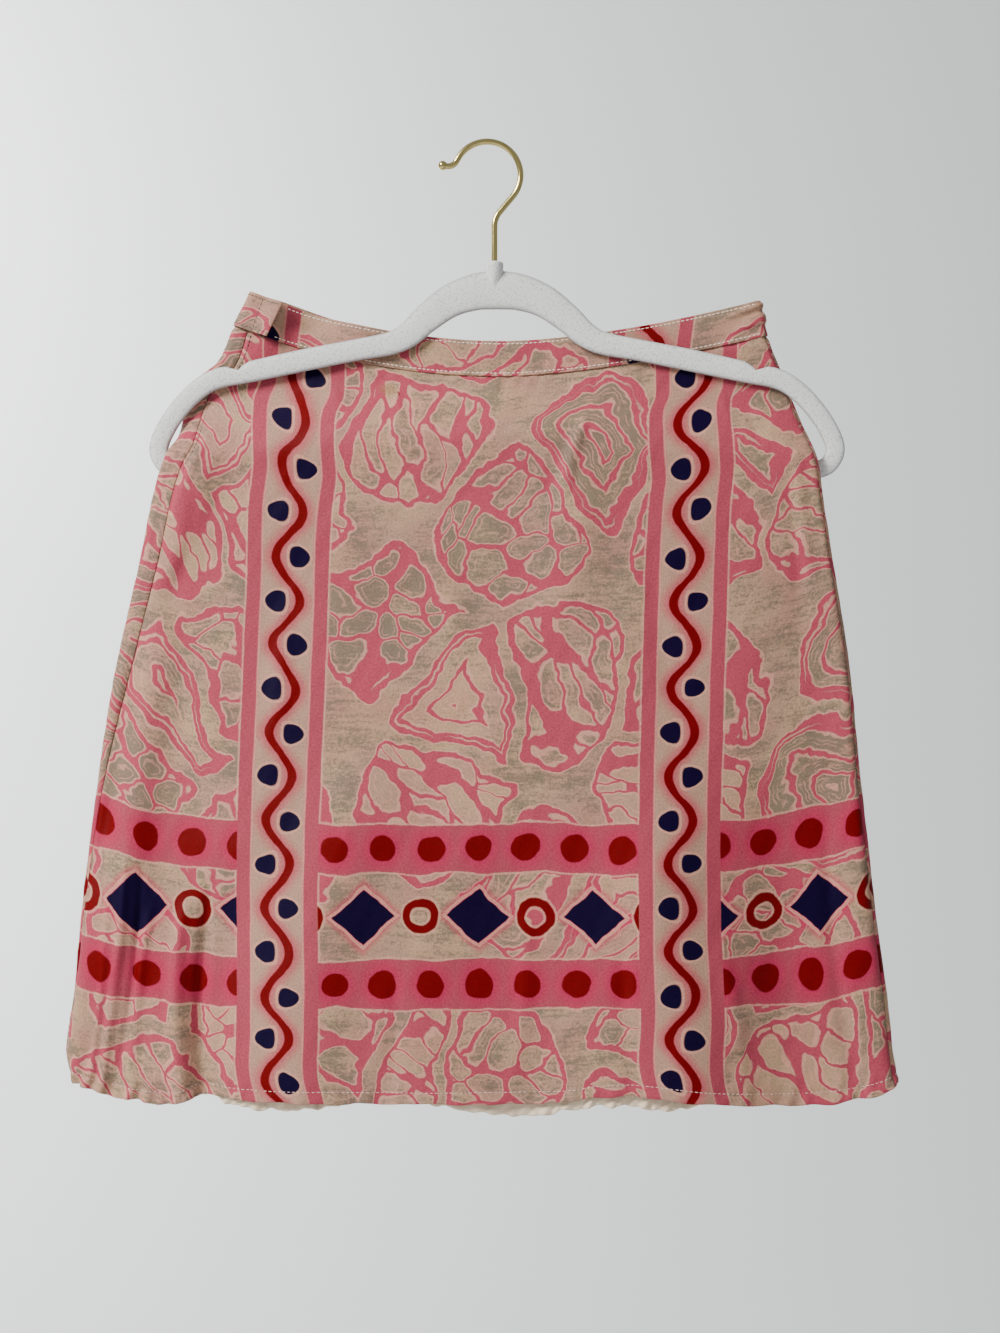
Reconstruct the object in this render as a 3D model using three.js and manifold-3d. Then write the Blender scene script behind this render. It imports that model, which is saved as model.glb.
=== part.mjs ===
// Mini skirt hung through a closed clothes hanger.
// Millimetres, +X to the viewer's right, +Y away from the viewer, +Z up.
// The origin is the inside top of the hook, where a rail or nail carries the hanger.
import * as THREE from "three";
import { mergeVertices } from "three/addons/utils/BufferGeometryUtils.js";
import Module from "manifold-3d";

// Cloth
const SHELL_WALL = 1.0;
const LINING_WALL = 1.0;
const BAND_WALL = 1.4;
const SEAM_GAP = 0.3;
const LINING_GAP = 0.9; // lining to shell at the waist
const LINING_SLACK = 5.2; // how much more it draws in by the hem
const WAIST_SEAM_Z = -147.8; // middle of the waist seam
const BAND_HEIGHT = 23.2;
const FRONT_LENGTH = 458; // waist seam to hem, down the middle
const BACK_LIFT = 6; // the back waist stands higher than the front near the left edge
const LAP = 24; // how far the back band's end laps on the front band
const TUCK = 7; // where the front band's end starts under that lap

// Hanger
const HANGER_X = 4.5;
const HANGER_THICKNESS = 5;
const HANGER_EDGE = 1.2;
const BAR_Z = -208.7;
const NECK_X = 2.8;
const NECK_RADIUS = 5.7;
const NECK_BORE = 2.3;
const NECK_TOP_Z = -75;
const ARCH_TOP_Z = -80.3;
const CLEARANCE = 0.6; // cloth to hanger, where they touch on the real one

// Hook
const WIRE_RADIUS = 2;
const HOOK_RADIUS = 21.4;
const HOOK_CENTRE = { x: -1.9, z: -19.3 };
const BALL_RADIUS = 3;

const FRONT = -1;
const BACK = 1;

// A table is a list of column names and a row of numbers for each section.
function table(columns, rows) {
  return rows.map((row) =>
    Object.fromEntries(columns.map((name, i) => [name, row[i]])),
  );
}

// The skirt's flattened tube, one row for each level below the waist seam.
// left and right are its edges, rise is how much higher each end of a level sits than its middle,
// half is half its depth in the middle, roll is the radius of its side folds,
// and back is where its back lies once it has passed in front of the hanger's bar.
const SECTIONS = table(
  ["drop", "left", "right", "riseLeft", "riseRight", "half", "roll", "back"],
  [
    [-23.2, -154.0, 173.5, 32.0, 26.4, 8.2, 3.8, -3.6],
    [0, -164.7, 178.3, 32.9, 26.5, 8.0, 3.8, -3.6],
    [22, -175.0, 187.0, 32.0, 26.0, 7.8, 3.9, -3.6],
    [32, -187.5, 190.8, 31.6, 25.6, 7.6, 4.1, -3.6],
    [45, -194.0, 196.3, 31.1, 25.3, 7.2, 4.3, -3.6],
    [60, -198.0, 202.0, 30.5, 24.9, 6.8, 4.3, -3.6],
    [72, -200.8, 206.0, 30.0, 24.6, 6.4, 4.2, -3.6],
    [82, -206.5, 209.0, 29.6, 24.3, 6.4, 4.2, -3.6],
    [100, -212.6, 211.4, 28.8, 23.8, 7.0, 4.4, -3.2],
    [140, -221.8, 218.2, 27.2, 22.8, 9.0, 5.0, 0.0],
    [210, -238.5, 229.8, 23.5, 20.0, 13.5, 6.5, 4.5],
    [280, -250.6, 237.2, 19.5, 17.5, 17.5, 8.0, 7.5],
    [350, -260.0, 245.8, 15.5, 14.5, 20.5, 9.5, 9.0],
    [405, -266.0, 254.0, 11.0, 10.5, 22.5, 10.5, 10.0],
    [440, -271.0, 257.6, 8.6, 8.2, 23.5, 11.0, 10.5],
    [458, -266.0, 261.0, 7.0, 6.8, 24.0, 11.5, 10.5],
  ],
);

// How far out from the hanger's middle, and between which heights, the cloth comes forward
// from behind the arms to the front of the bar.
const PASSAGE = table(
  ["out", "start", "finish"],
  [
    [0, -137, -201],
    [66, -138, -201],
    [91, -141, -201],
    [124, -148, -201],
    [156, -155, -201],
    [180, -160, -201],
    [194.5, -169.5, -201],
    [204, -180, -198],
    [210, -181, -194],
    [240, -181, -193],
  ],
);

// The largest folds of each side: a soft line from its top to its bottom,
// reach to either side of it, and rise outwards. A valley's rise is below zero.
const FOLD_COLUMNS = ["xTop", "zTop", "xBottom", "zBottom", "reach", "rise"];
const FOLDS = {
  [FRONT]: table(FOLD_COLUMNS, [
    [-176, -182, -207, -290, 16, 4.5],
    [-203, -262, -247, -585, 20, 6.0],
    [-222, -300, -257, -500, 10, -3.0],
    [-158, -440, -184, -640, 26, -5.0],
    [-96, -380, -118, -640, 40, 4.5],
    [62, -190, 44, -330, 26, 2.5],
    [16, -420, 30, -640, 46, -4.0],
    [96, -400, 128, -640, 44, 5.0],
    [176, -360, 196, -640, 34, -4.5],
    [222, -300, 243, -600, 20, 3.0],
  ]),
  [BACK]: table(FOLD_COLUMNS, [
    [-120, -250, -168, -640, 40, 4.0],
    [-52, -330, -70, -640, 34, -3.5],
    [24, -270, 34, -640, 42, 3.5],
    [104, -300, 132, -640, 36, -4.0],
    [168, -250, 206, -640, 32, 4.0],
  ]),
};

// The front hem isn't straight: how far it lifts, and how much longer the lining is.
const HEM = table(
  ["x", "lift", "lining"],
  [
    [-265, 0, -4],
    [-240, -3.0, -4],
    [-200, -4.0, -3],
    [-182, 2.0, 1],
    [-160, 1.0, 4.5],
    [-105, 1.0, 4.5],
    [-70, 0.3, -2],
    [-40, 0, -1],
    [-16, 0, 4.5],
    [24, 0, 8],
    [50, 1.0, 6],
    [66, 4.0, 7],
    [88, 5.0, 7],
    [112, 3.0, 7],
    [134, 0, 1],
    [152, -2.0, -4],
    [200, -6.0, -4],
    [240, -5.0, -4],
    [262, -1.0, -4],
  ],
);
const HEM_REACH = 78; // how far up from the hem that waviness is felt

// Half of the hanger's loop, from the middle of the arch out along the arm to its tip.
const ARM = table(
  ["out", "z", "width"],
  [
    [0, -92.8, 25],
    [14, -94.2, 23.5],
    [30, -100.0, 21],
    [45, -111.0, 18.5],
    [56, -121.0, 16.5],
    [68, -127.0, 14.8],
    [91, -131.4, 13.8],
    [124.4, -138.0, 14.2],
    [157, -145.0, 13.6],
    [180, -150.0, 13.0],
    [194, -159.0, 12.6],
    [206.5, -173.2, 12.4],
    [214.6, -187.5, 12.4],
    [216.2, -197.0, 12.2],
    [211.6, -205.0, 11.6],
    [203, -208.6, 11.2],
  ],
);
const ARM_SMOOTHNESS = 0.5;
const NOTCH = { out: 166, reach: 7, depth: 4.6 };
const BAR_HEIGHT = 11.2;

// Fraction of the way from start to end, eased at both.
function ease(value, start, end) {
  return THREE.MathUtils.smoothstep((value - start) / (end - start), 0, 1);
}

// The row of a table at a value of its first column, along a smooth curve through its rows.
function rowAt(rows, key, value) {
  const last = rows.length - 1;
  const clamped = THREE.MathUtils.clamp(value, rows[0][key], rows[last][key]);
  let i = 0;
  while (i < last - 1 && rows[i + 1][key] < clamped) i++;
  const a = rows[i];
  const b = rows[i + 1];
  const before = rows[Math.max(i - 1, 0)];
  const after = rows[Math.min(i + 2, last)];
  const span = b[key] - a[key];
  const t = (clamped - a[key]) / span;
  const row = {};
  for (const name of Object.keys(a)) {
    const slopeA = (b[name] - before[name]) / (b[key] - before[key]);
    const slopeB = (after[name] - a[name]) / (after[key] - a[key]);
    row[name] =
      a[name] * (2 * t ** 3 - 3 * t ** 2 + 1) +
      b[name] * (3 * t ** 2 - 2 * t ** 3) +
      slopeA * span * (t ** 3 - 2 * t ** 2 + t) +
      slopeB * span * (t ** 3 - t ** 2);
  }
  return row;
}

// How far the folds of one side stand out from the smooth form at a place on it.
function foldRise(side, x, z) {
  let rise = 0;
  for (const fold of FOLDS[side]) {
    const length = fold.zTop - fold.zBottom;
    const down = (fold.zTop - z) / length;
    if (down <= 0 || down >= 1) continue;
    const across = (x - THREE.MathUtils.lerp(fold.xTop, fold.xBottom, down)) / fold.reach;
    const fade = ease(down, 0, 0.3) * (fold.zBottom < -600 ? 1 : ease(down, 1, 0.7));
    rise += fold.rise * fade * Math.exp(-2 * across * across);
  }
  return rise;
}

// How far the cloth has come forward through the hanger, from 0 behind the arms to 1 at the bar.
// Between the arms' shoulders it comes out early and then hangs on straight.
function forwardShare(out, z) {
  const passage = rowAt(PASSAGE, "out", out);
  const steady = ease(z, passage.start, passage.finish);
  const down = THREE.MathUtils.clamp((passage.start - z) / (passage.start - passage.finish), 0, 1);
  const early = (1 - (1 - down) ** 2) * ease(down, 0, 0.8);
  return THREE.MathUtils.lerp(steady, early, ease(out, 180, 60));
}

// Half the length of a level's outline, from its left edge round the front to its right edge.
function halfGirth(section) {
  return section.right - section.left + (Math.PI - 2) * section.roll;
}

// A point of the cloth's middle surface. turn goes 0 to 1 over the front from left to right,
// and 1 to 2 over the back from right to left. hemAt gives the height added at the hem,
// and foldsAt the folds, which the lining hasn't.
function clothPoint(drop, turn, { hemAt, foldsAt }) {
  const s = rowAt(SECTIONS, "drop", drop);
  const girth = halfGirth(s);
  const wrapped = THREE.MathUtils.euclideanModulo(turn, 2);
  const side = wrapped <= 1 ? FRONT : BACK;
  const along = girth * (side === FRONT ? wrapped : 2 - wrapped);
  const quarter = (Math.PI / 2) * s.roll;
  const fromEnd = Math.min(along, girth - along);
  const angle = Math.min(fromEnd, quarter) / s.roll;
  const inset = s.roll * (1 - Math.cos(angle)) + Math.max(fromEnd - quarter, 0);
  const x = along < girth / 2 ? s.left + inset : s.right - inset;
  const middle = (s.left + s.right) / 2;
  const t = (2 * (x - middle)) / (s.right - s.left);
  const level = drop / FRONT_LENGTH;
  const riseEnd = t < 0 ? s.riseLeft : s.riseRight;
  const risePower = (t < 0 ? 2 : 1.6) + 5 * Math.max(level, 0);
  const liftShare = ease(t, -0.45, -0.9) * ease(fromEnd, 0, 24) * ease(drop, 90, 0);
  const backLift = side === BACK ? BACK_LIFT * liftShare : 0;
  const hemShare = ease(drop, FRONT_LENGTH - HEM_REACH, FRONT_LENGTH);
  const z =
    WAIST_SEAM_Z - drop + riseEnd * Math.abs(t) ** risePower + backLift + hemShare * hemAt(x, side);
  const flatT = THREE.MathUtils.clamp((2 * (x - middle)) / (s.right - s.left - 2 * s.roll), -1, 1);
  const depth = s.roll + (s.half - s.roll) * (1 - flatT ** 4) ** 2;
  const out = Math.abs(x - HANGER_X);
  const forward = forwardShare(out, z);
  const behindArms = HANGER_THICKNESS / 2 + CLEARANCE + SHELL_WALL / 2 + depth;
  const centre = THREE.MathUtils.lerp(behindArms, s.back - depth, forward);
  const stand = fromEnd < quarter ? s.roll * Math.sin(angle) : depth;
  return new THREE.Vector3(x, centre + side * (stand + foldsAt(side, x, z)), z);
}

// The outward unit normal of that surface.
function clothNormal(drop, turn, form) {
  const step = 0.3;
  const girth = halfGirth(rowAt(SECTIONS, "drop", drop));
  const turnStep = step / girth;
  const down = clothPoint(drop + step, turn, form).sub(clothPoint(drop - step, turn, form));
  const across = clothPoint(drop, turn + turnStep, form).sub(
    clothPoint(drop, turn - turnStep, form),
  );
  return down.cross(across).normalize();
}

function shellHem(x, side) {
  const row = rowAt(HEM, "x", x);
  return side === FRONT ? row.lift : 1.5 * Math.sin(x / 31) - 1;
}

function liningHem(x, side) {
  const row = rowAt(HEM, "x", x);
  return side === FRONT ? row.lift - row.lining : 1.5 * Math.sin(x / 31) + 3;
}

const SHELL_FORM = { hemAt: shellHem, foldsAt: foldRise };
const LINING_FORM = { hemAt: liningHem, foldsAt: () => 0 };

// Columns of a wall: stops in millimetres along the half outline, and how many steps lie between.
function columnsBetween(counts) {
  const columns = [];
  counts.forEach((count, part) => {
    for (let i = 0; i < count; i++) columns.push({ part, share: i / count });
  });
  columns.push({ part: counts.length - 1, share: 1 });
  return columns;
}

function turnOf(column, drop, stopsAt) {
  const section = rowAt(SECTIONS, "drop", drop);
  const stops = stopsAt(section, drop);
  return (
    THREE.MathUtils.lerp(stops[column.part], stops[column.part + 1], column.share) /
    halfGirth(section)
  );
}

// A closed wall of even thickness on the cloth's surface, moved out from it by offset.
function clothWall({ drops, columns, stopsAt, form, thickness, offsetAt, closed = false }) {
  const positions = [];
  for (const face of [0.5, -0.5]) {
    for (const drop of drops) {
      for (const column of columns) {
        const turn = turnOf(column, drop, stopsAt);
        const offset = offsetAt(turn, drop) + face * thickness;
        const point = clothPoint(drop, turn, form);
        point.addScaledVector(clothNormal(drop, turn, form), offset);
        positions.push(point.x, point.y, point.z);
      }
    }
  }
  const wide = columns.length;
  const high = drops.length;
  const spans = closed ? wide : wide - 1;
  const at = (face, row, column) => face * wide * high + row * wide + (column % wide);
  const indices = [];
  const quad = (a, b, c, d) => indices.push(a, b, c, a, c, d);
  for (let c = 0; c < spans; c++) {
    for (let r = 0; r < high - 1; r++) {
      quad(at(0, r, c), at(0, r + 1, c), at(0, r + 1, c + 1), at(0, r, c + 1));
      quad(at(1, r, c), at(1, r, c + 1), at(1, r + 1, c + 1), at(1, r + 1, c));
    }
    quad(at(0, 0, c), at(0, 0, c + 1), at(1, 0, c + 1), at(1, 0, c));
    const low = high - 1;
    quad(at(0, low, c), at(1, low, c), at(1, low, c + 1), at(0, low, c + 1));
  }
  if (!closed) {
    for (let r = 0; r < high - 1; r++) {
      const end = wide - 1;
      quad(at(0, r, 0), at(1, r, 0), at(1, r + 1, 0), at(0, r + 1, 0));
      quad(at(0, r, end), at(0, r + 1, end), at(1, r + 1, end), at(1, r, end));
    }
  }
  const geometry = new THREE.BufferGeometry();
  geometry.setAttribute("position", new THREE.Float32BufferAttribute(positions, 3));
  geometry.setIndex(indices);
  geometry.computeVertexNormals();
  return geometry;
}

// Where the left side seam runs on the front, from the left edge.
const SIDE_SEAM = table(
  ["drop", "inset"],
  [
    [-23.2, 9],
    [20, 13],
    [190, 14],
    [290, 8],
    [370, 6],
    [458, 3],
  ],
);

function leftSeam(drop) {
  return rowAt(SIDE_SEAM, "drop", drop).inset;
}

function rightSeam(section) {
  return halfGirth(section) - (Math.PI / 4) * section.roll;
}

const HALF_GAP = SEAM_GAP / 2;
const SIDE_ZONE = 46; // columns are closer together over this width beside each edge
const DROPS = [
  HALF_GAP, 10, 20, 27, 34, 42, 51, 59, 66, 73, 80, 87, 97, 115, 142, 180, 222, 265, 308, 350, 388, 418,
  440, 458,
];
const noOffset = () => 0;

function frontStops(section, drop) {
  const start = leftSeam(drop) + HALF_GAP;
  const end = rightSeam(section) - HALF_GAP;
  const turnEnd = halfGirth(section) - (Math.PI / 2) * section.roll;
  return [start, start + SIDE_ZONE, turnEnd - SIDE_ZONE, turnEnd, end];
}

function backStops(section, drop) {
  const girth = halfGirth(section);
  const quarter = (Math.PI / 2) * section.roll;
  const start = rightSeam(section) + HALF_GAP;
  const flatStart = girth + quarter;
  const flatEnd = 2 * girth - quarter;
  const end = 2 * girth + leftSeam(drop) - HALF_GAP;
  return [start, flatStart, flatStart + SIDE_ZONE, flatEnd - SIDE_ZONE, flatEnd, 2 * girth, end];
}

const FRONT_COLUMNS = columnsBetween([5, 17, 4, 2]);
const BACK_COLUMNS = columnsBetween([3, 4, 14, 4, 3, 3]);

function frontPanel() {
  return clothWall({
    drops: DROPS,
    columns: FRONT_COLUMNS,
    stopsAt: frontStops,
    form: SHELL_FORM,
    thickness: SHELL_WALL,
    offsetAt: noOffset,
  });
}

function backPanel() {
  return clothWall({
    drops: DROPS,
    columns: BACK_COLUMNS,
    stopsAt: backStops,
    form: SHELL_FORM,
    thickness: SHELL_WALL,
    offsetAt: noOffset,
  });
}

const LINING_DROPS = [
  1, 10, 20, 27, 34, 42, 51, 59, 66, 73, 80, 87, 97, 115, 142, 180, 240, 308, 378, 420, 458,
];

// The lining is one wall all the way round, and hangs further inside the lower it is.
function lining() {
  const columns = columnsBetween([2, 6, 10, 5, 2, 2, 5, 10, 6, 2]);
  columns.pop(); // the last is the first again
  return clothWall({
    drops: LINING_DROPS,
    columns,
    stopsAt: (section) => {
      const girth = halfGirth(section);
      const quarter = (Math.PI / 2) * section.roll;
      const half = [0, quarter, quarter + SIDE_ZONE];
      half.push(girth - quarter - SIDE_ZONE, girth - quarter);
      return [...half, ...half.map((stop) => stop + girth), 2 * girth];
    },
    form: LINING_FORM,
    thickness: LINING_WALL,
    offsetAt: (turn, drop) =>
      -(SHELL_WALL / 2 + LINING_GAP + LINING_SLACK * ease(drop, 95, 260) + LINING_WALL / 2),
    closed: true,
  });
}

const BAND_DROPS = [-BAND_HEIGHT, -BAND_HEIGHT / 2, -HALF_GAP];

function frontBand() {
  return clothWall({
    drops: BAND_DROPS,
    columns: columnsBetween([26, 2]),
    stopsAt: (section) => [
      TUCK,
      halfGirth(section) - (Math.PI / 2) * section.roll,
      rightSeam(section) - HALF_GAP,
    ],
    form: SHELL_FORM,
    thickness: BAND_WALL,
    offsetAt: noOffset,
  });
}

// The back band runs on round the left edge and laps on the front band.
function backBand() {
  const lapOut = BAND_WALL + SEAM_GAP + 0.1;
  return clothWall({
    drops: BAND_DROPS,
    columns: columnsBetween([4, 22, 3, 6]),
    stopsAt: (section) => {
      const girth = halfGirth(section);
      const quarter = (Math.PI / 2) * section.roll;
      const start = rightSeam(section) + HALF_GAP;
      return [start, girth + quarter, 2 * girth - quarter, 2 * girth, 2 * girth + LAP];
    },
    form: SHELL_FORM,
    thickness: BAND_WALL,
    offsetAt: (turn, drop) => {
      const girth = halfGirth(rowAt(SECTIONS, "drop", drop));
      return lapOut * ease((turn - 2) * girth, 0, TUCK - 1.5);
    },
  });
}

// The arm's middle line as a curve, with its width at the same share of the way.
function armEdge(side) {
  const line = new THREE.CatmullRomCurve3(
    ARM.map((row) => new THREE.Vector3(row.out, row.z, row.width)),
    false,
    "catmullrom",
    ARM_SMOOTHNESS,
  );
  const count = 50;
  const points = [];
  for (let i = 0; i <= count; i++) {
    const here = line.getPoint(i / count);
    const tangent = line.getTangent(i / count);
    const length = Math.hypot(tangent.x, tangent.y);
    const notch = side > 0 ? NOTCH.depth * Math.exp(-(((here.x - NOTCH.out) / NOTCH.reach) ** 2) * 3) : 0;
    const reach = side * (here.z / 2 - notch);
    points.push(
      new THREE.Vector2(
        here.x - (tangent.y / length) * reach,
        here.y + (tangent.x / length) * reach,
      ),
    );
  }
  return points.filter((point) => point.x >= 0);
}

// One side's points and their mirror images, as a ring that starts and ends at the bar.
function loopPoints(side, barEdgeZ) {
  const half = armEdge(side);
  half[0].x = 0;
  const left = half
    .slice(1)
    .reverse()
    .map((point) => new THREE.Vector2(-point.x, point.y));
  const ring = [...left, ...half];
  const corner = half[half.length - 1].x - 3;
  ring.push(new THREE.Vector2(corner, barEdgeZ), new THREE.Vector2(-corner, barEdgeZ));
  return ring;
}

const wasm = await Module();
wasm.setup();

function toSolid(geometry) {
  const bare = new THREE.BufferGeometry();
  bare.setAttribute("position", geometry.getAttribute("position"));
  if (geometry.index) bare.setIndex(geometry.index);
  const merged = mergeVertices(bare, 1e-3);
  return new wasm.Manifold(
    new wasm.Mesh({
      numProp: 3,
      vertProperties: merged.attributes.position.array,
      triVerts: new Uint32Array(merged.index.array),
    }),
  );
}

function fromSolid(solid) {
  const { vertProperties, triVerts } = solid.getMesh();
  const geometry = new THREE.BufferGeometry();
  geometry.setAttribute("position", new THREE.Float32BufferAttribute(vertProperties, 3));
  geometry.setIndex([...triVerts]);
  geometry.computeVertexNormals();
  return geometry;
}

// The closed loop of arms and bar, with a round neck that takes the hook.
function hangerBody() {
  const shape = new THREE.Shape(loopPoints(1, BAR_Z - BAR_HEIGHT / 2));
  shape.holes.push(new THREE.Path(loopPoints(-1, BAR_Z + BAR_HEIGHT / 2).reverse()));
  const loop = new THREE.ExtrudeGeometry(shape, {
    depth: HANGER_THICKNESS - 2 * HANGER_EDGE,
    bevelEnabled: true,
    bevelThickness: HANGER_EDGE,
    bevelSize: HANGER_EDGE,
    bevelOffset: -HANGER_EDGE,
    bevelSegments: 1,
  });
  loop.rotateX(Math.PI / 2);
  loop.translate(HANGER_X, HANGER_THICKNESS / 2 - HANGER_EDGE, 0);
  const low = ARCH_TOP_Z - 2;
  const rim = 1.2;
  const neck = new THREE.LatheGeometry(
    [
      new THREE.Vector2(NECK_BORE, low),
      new THREE.Vector2(NECK_RADIUS, low),
      new THREE.Vector2(NECK_RADIUS, NECK_TOP_Z - rim),
      new THREE.Vector2(NECK_RADIUS - rim, NECK_TOP_Z),
      new THREE.Vector2(NECK_BORE, NECK_TOP_Z),
      new THREE.Vector2(NECK_BORE, low),
    ],
    16,
  );
  neck.rotateX(Math.PI / 2);
  neck.translate(NECK_X, 0, 0);
  return fromSolid(toSolid(loop).add(toSolid(neck)));
}

// The wire's path: up the shaft, out to the right, over the top and down to the curled tip.
function hookPath() {
  const at = (x, z) => new THREE.Vector3(x, 0, z);
  const points = [at(NECK_X, ARCH_TOP_Z + SEAM_GAP + 0.1), at(NECK_X, -66), at(NECK_X, -52)];
  points.push(at(6.4, -42.6));
  const start = THREE.MathUtils.degToRad(-36);
  const end = THREE.MathUtils.degToRad(150);
  const arcSteps = 10;
  for (let i = 0; i <= arcSteps; i++) {
    const angle = THREE.MathUtils.lerp(start, end, i / arcSteps);
    points.push(
      at(HOOK_CENTRE.x + HOOK_RADIUS * Math.cos(angle), HOOK_CENTRE.z + HOOK_RADIUS * Math.sin(angle)),
    );
  }
  points.push(at(-24.2, -13.2), at(-27.2, -14.8), at(-30.6, -14.2));
  return new THREE.CatmullRomCurve3(points, false, "centripetal");
}

function hangerHook() {
  const path = hookPath();
  const ring = new THREE.Shape().absarc(0, 0, WIRE_RADIUS, 0, 2 * Math.PI);
  const wire = new THREE.ExtrudeGeometry(ring, {
    steps: 60,
    curveSegments: 4,
    bevelEnabled: false,
    extrudePath: path,
  });
  const ball = new THREE.SphereGeometry(BALL_RADIUS, 10, 8);
  const tip = path.getPoint(1);
  ball.translate(tip.x, tip.y, tip.z);
  return fromSolid(toSolid(wire).add(toSolid(ball)));
}

const CLOTH_FINISH = { roughness: 0.6, metalness: 0 };
const finishes = {
  shell: new THREE.MeshStandardMaterial({ color: 0xc9aa9c, ...CLOTH_FINISH }),
  band: new THREE.MeshStandardMaterial({ color: 0xc4a690, ...CLOTH_FINISH }),
  lining: new THREE.MeshStandardMaterial({ color: 0xe1d2be, ...CLOTH_FINISH }),
  flock: new THREE.MeshStandardMaterial({ color: 0xd6d7d6, roughness: 0.95, metalness: 0 }),
  gold: new THREE.MeshStandardMaterial({ color: 0xc8b481, roughness: 0.28, metalness: 1 }),
};

function piece(name, geometry, finish) {
  const mesh = new THREE.Mesh(geometry, finish);
  mesh.name = name;
  return mesh;
}

const skirtOnHanger = new THREE.Group();
skirtOnHanger.add(
  piece("front_panel", frontPanel(), finishes.shell),
  piece("back_panel", backPanel(), finishes.shell),
  piece("waistband_front", frontBand(), finishes.band),
  piece("waistband_back", backBand(), finishes.band),
  piece("lining", lining(), finishes.lining),
  piece("hanger_body", hangerBody(), finishes.flock),
  piece("hanger_hook", hangerHook(), finishes.gold),
);

export default skirtOnHanger;
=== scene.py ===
"""The looks of a mini skirt hung through a flocked clothes hanger.

Tables and functions are in millimetres, and meshes in metres.
+X is the viewer's right, +Y away from the viewer and +Z up.
The origin is the inside top of the hook, where a rail or peg carries the hanger.
"""

import math
import random

import bpy
import numpy as np
from mathutils import Matrix, Vector


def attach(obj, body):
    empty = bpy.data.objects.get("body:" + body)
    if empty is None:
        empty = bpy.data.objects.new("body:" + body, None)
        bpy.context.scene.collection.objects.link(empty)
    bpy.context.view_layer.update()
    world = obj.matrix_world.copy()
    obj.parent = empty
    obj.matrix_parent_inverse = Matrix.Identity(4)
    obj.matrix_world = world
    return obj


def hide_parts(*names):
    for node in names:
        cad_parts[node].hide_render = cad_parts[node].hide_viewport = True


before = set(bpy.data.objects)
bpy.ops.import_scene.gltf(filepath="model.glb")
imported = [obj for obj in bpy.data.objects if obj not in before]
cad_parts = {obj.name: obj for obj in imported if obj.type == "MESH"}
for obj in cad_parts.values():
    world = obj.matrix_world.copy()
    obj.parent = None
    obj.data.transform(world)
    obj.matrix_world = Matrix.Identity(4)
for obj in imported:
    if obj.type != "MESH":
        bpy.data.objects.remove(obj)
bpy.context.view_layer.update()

MM = 0.001
FRONT, BACK = -1, 1

# Cloth
SHELL_CLOTH = 0.6
LINING_CLOTH = 0.5
BAND_CLOTH = 1.3
SOLID_SHELL = 1.0  # the frame's own wall, whose middle the cloth lies on
SOLID_LINING = 1.0
LINING_GAP = 0.9
LINING_SLACK = 5.2
LINING_FRONT_SHARE = 0.7  # of its columns, because its hem shows at the front
WAIST_SEAM_Z = -147.8
BAND_HEIGHT = 23.2
FRONT_LENGTH = 458.0
BACK_LIFT = 2.2  # less than the solids have, as the photo shows it
LAP = 24.0
LAP_OUT = 1.8
LAP_HOLLOW = 4.6
LAP_TOP_HOLLOW = 2.2
LAP_LIFT = 3.0
TUCK = 7.0  # where the front band starts under the lap
HALF_GAP = 0.15  # on each side of a seam between two pieces
HEM_REACH = 78.0  # how high above the hem its unevenness is felt
HEM_Z = -593.0  # a crease that ends below this runs out through the hem
HEM_TURN_UP = 9.5
HEM_STITCH = 7.0
STITCH_LENGTH, STITCH_PITCH, HEM_STITCH_PITCH = 2.2, 2.9, 3.1
HEM_FOLD = 0.55
SEAM_ALLOWANCE = 6.0
BAND_ROWS = 28

# Hanger
HANGER_X = 4.5
HANGER_THICKNESS = 5.0
HANGER_SQUARENESS = 2.7  # its section's power: 2 is an ellipse
BAR_Z = -208.7
BAR_HEIGHT = 11.2
BAR_CORNER_OUT = 203.0
NECK_X = 2.8
NECK_RADIUS = 5.7
NECK_TOP_Z = -75.0
NECK_BORE = 3.4
NECK_FOOT = 10.0
NECK_FOOT_SHARE = 0.38
ARCH_TOP_Z = -80.3
CLEARANCE = 0.6

# Hook
WIRE_RADIUS = 2.0
HOOK_RADIUS = 21.4
HOOK_CENTRE = (-1.9, -19.3)
BALL_RADIUS = 3.0


class Table:
    """Rows of sizes with named columns, read along smooth curves through the rows."""

    def __init__(self, columns, rows):
        self.columns = columns.split()
        self.rows = np.array(rows, float)
        before = self.rows[[0, *range(len(rows) - 1)]]
        after = self.rows[[*range(1, len(rows)), -1]]
        self.slopes = (after - before) / (after[:, :1] - before[:, :1])

    def at(self, key):
        keys = self.rows[:, 0]
        key = np.clip(np.asarray(key, float), keys[0], keys[-1])
        i = np.clip(np.searchsorted(keys, key) - 1, 0, len(keys) - 2)
        span = (keys[i + 1] - keys[i])[..., None]
        t = (key - keys[i])[..., None] / span
        level = self.rows[i] * (2 * t**3 - 3 * t**2 + 1) + self.rows[i + 1] * (3 * t**2 - 2 * t**3)
        lean = self.slopes[i] * (t**3 - 2 * t**2 + t) + self.slopes[i + 1] * (t**3 - t**2)
        return dict(zip(self.columns, np.moveaxis(level + lean * span, -1, 0)))


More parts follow.
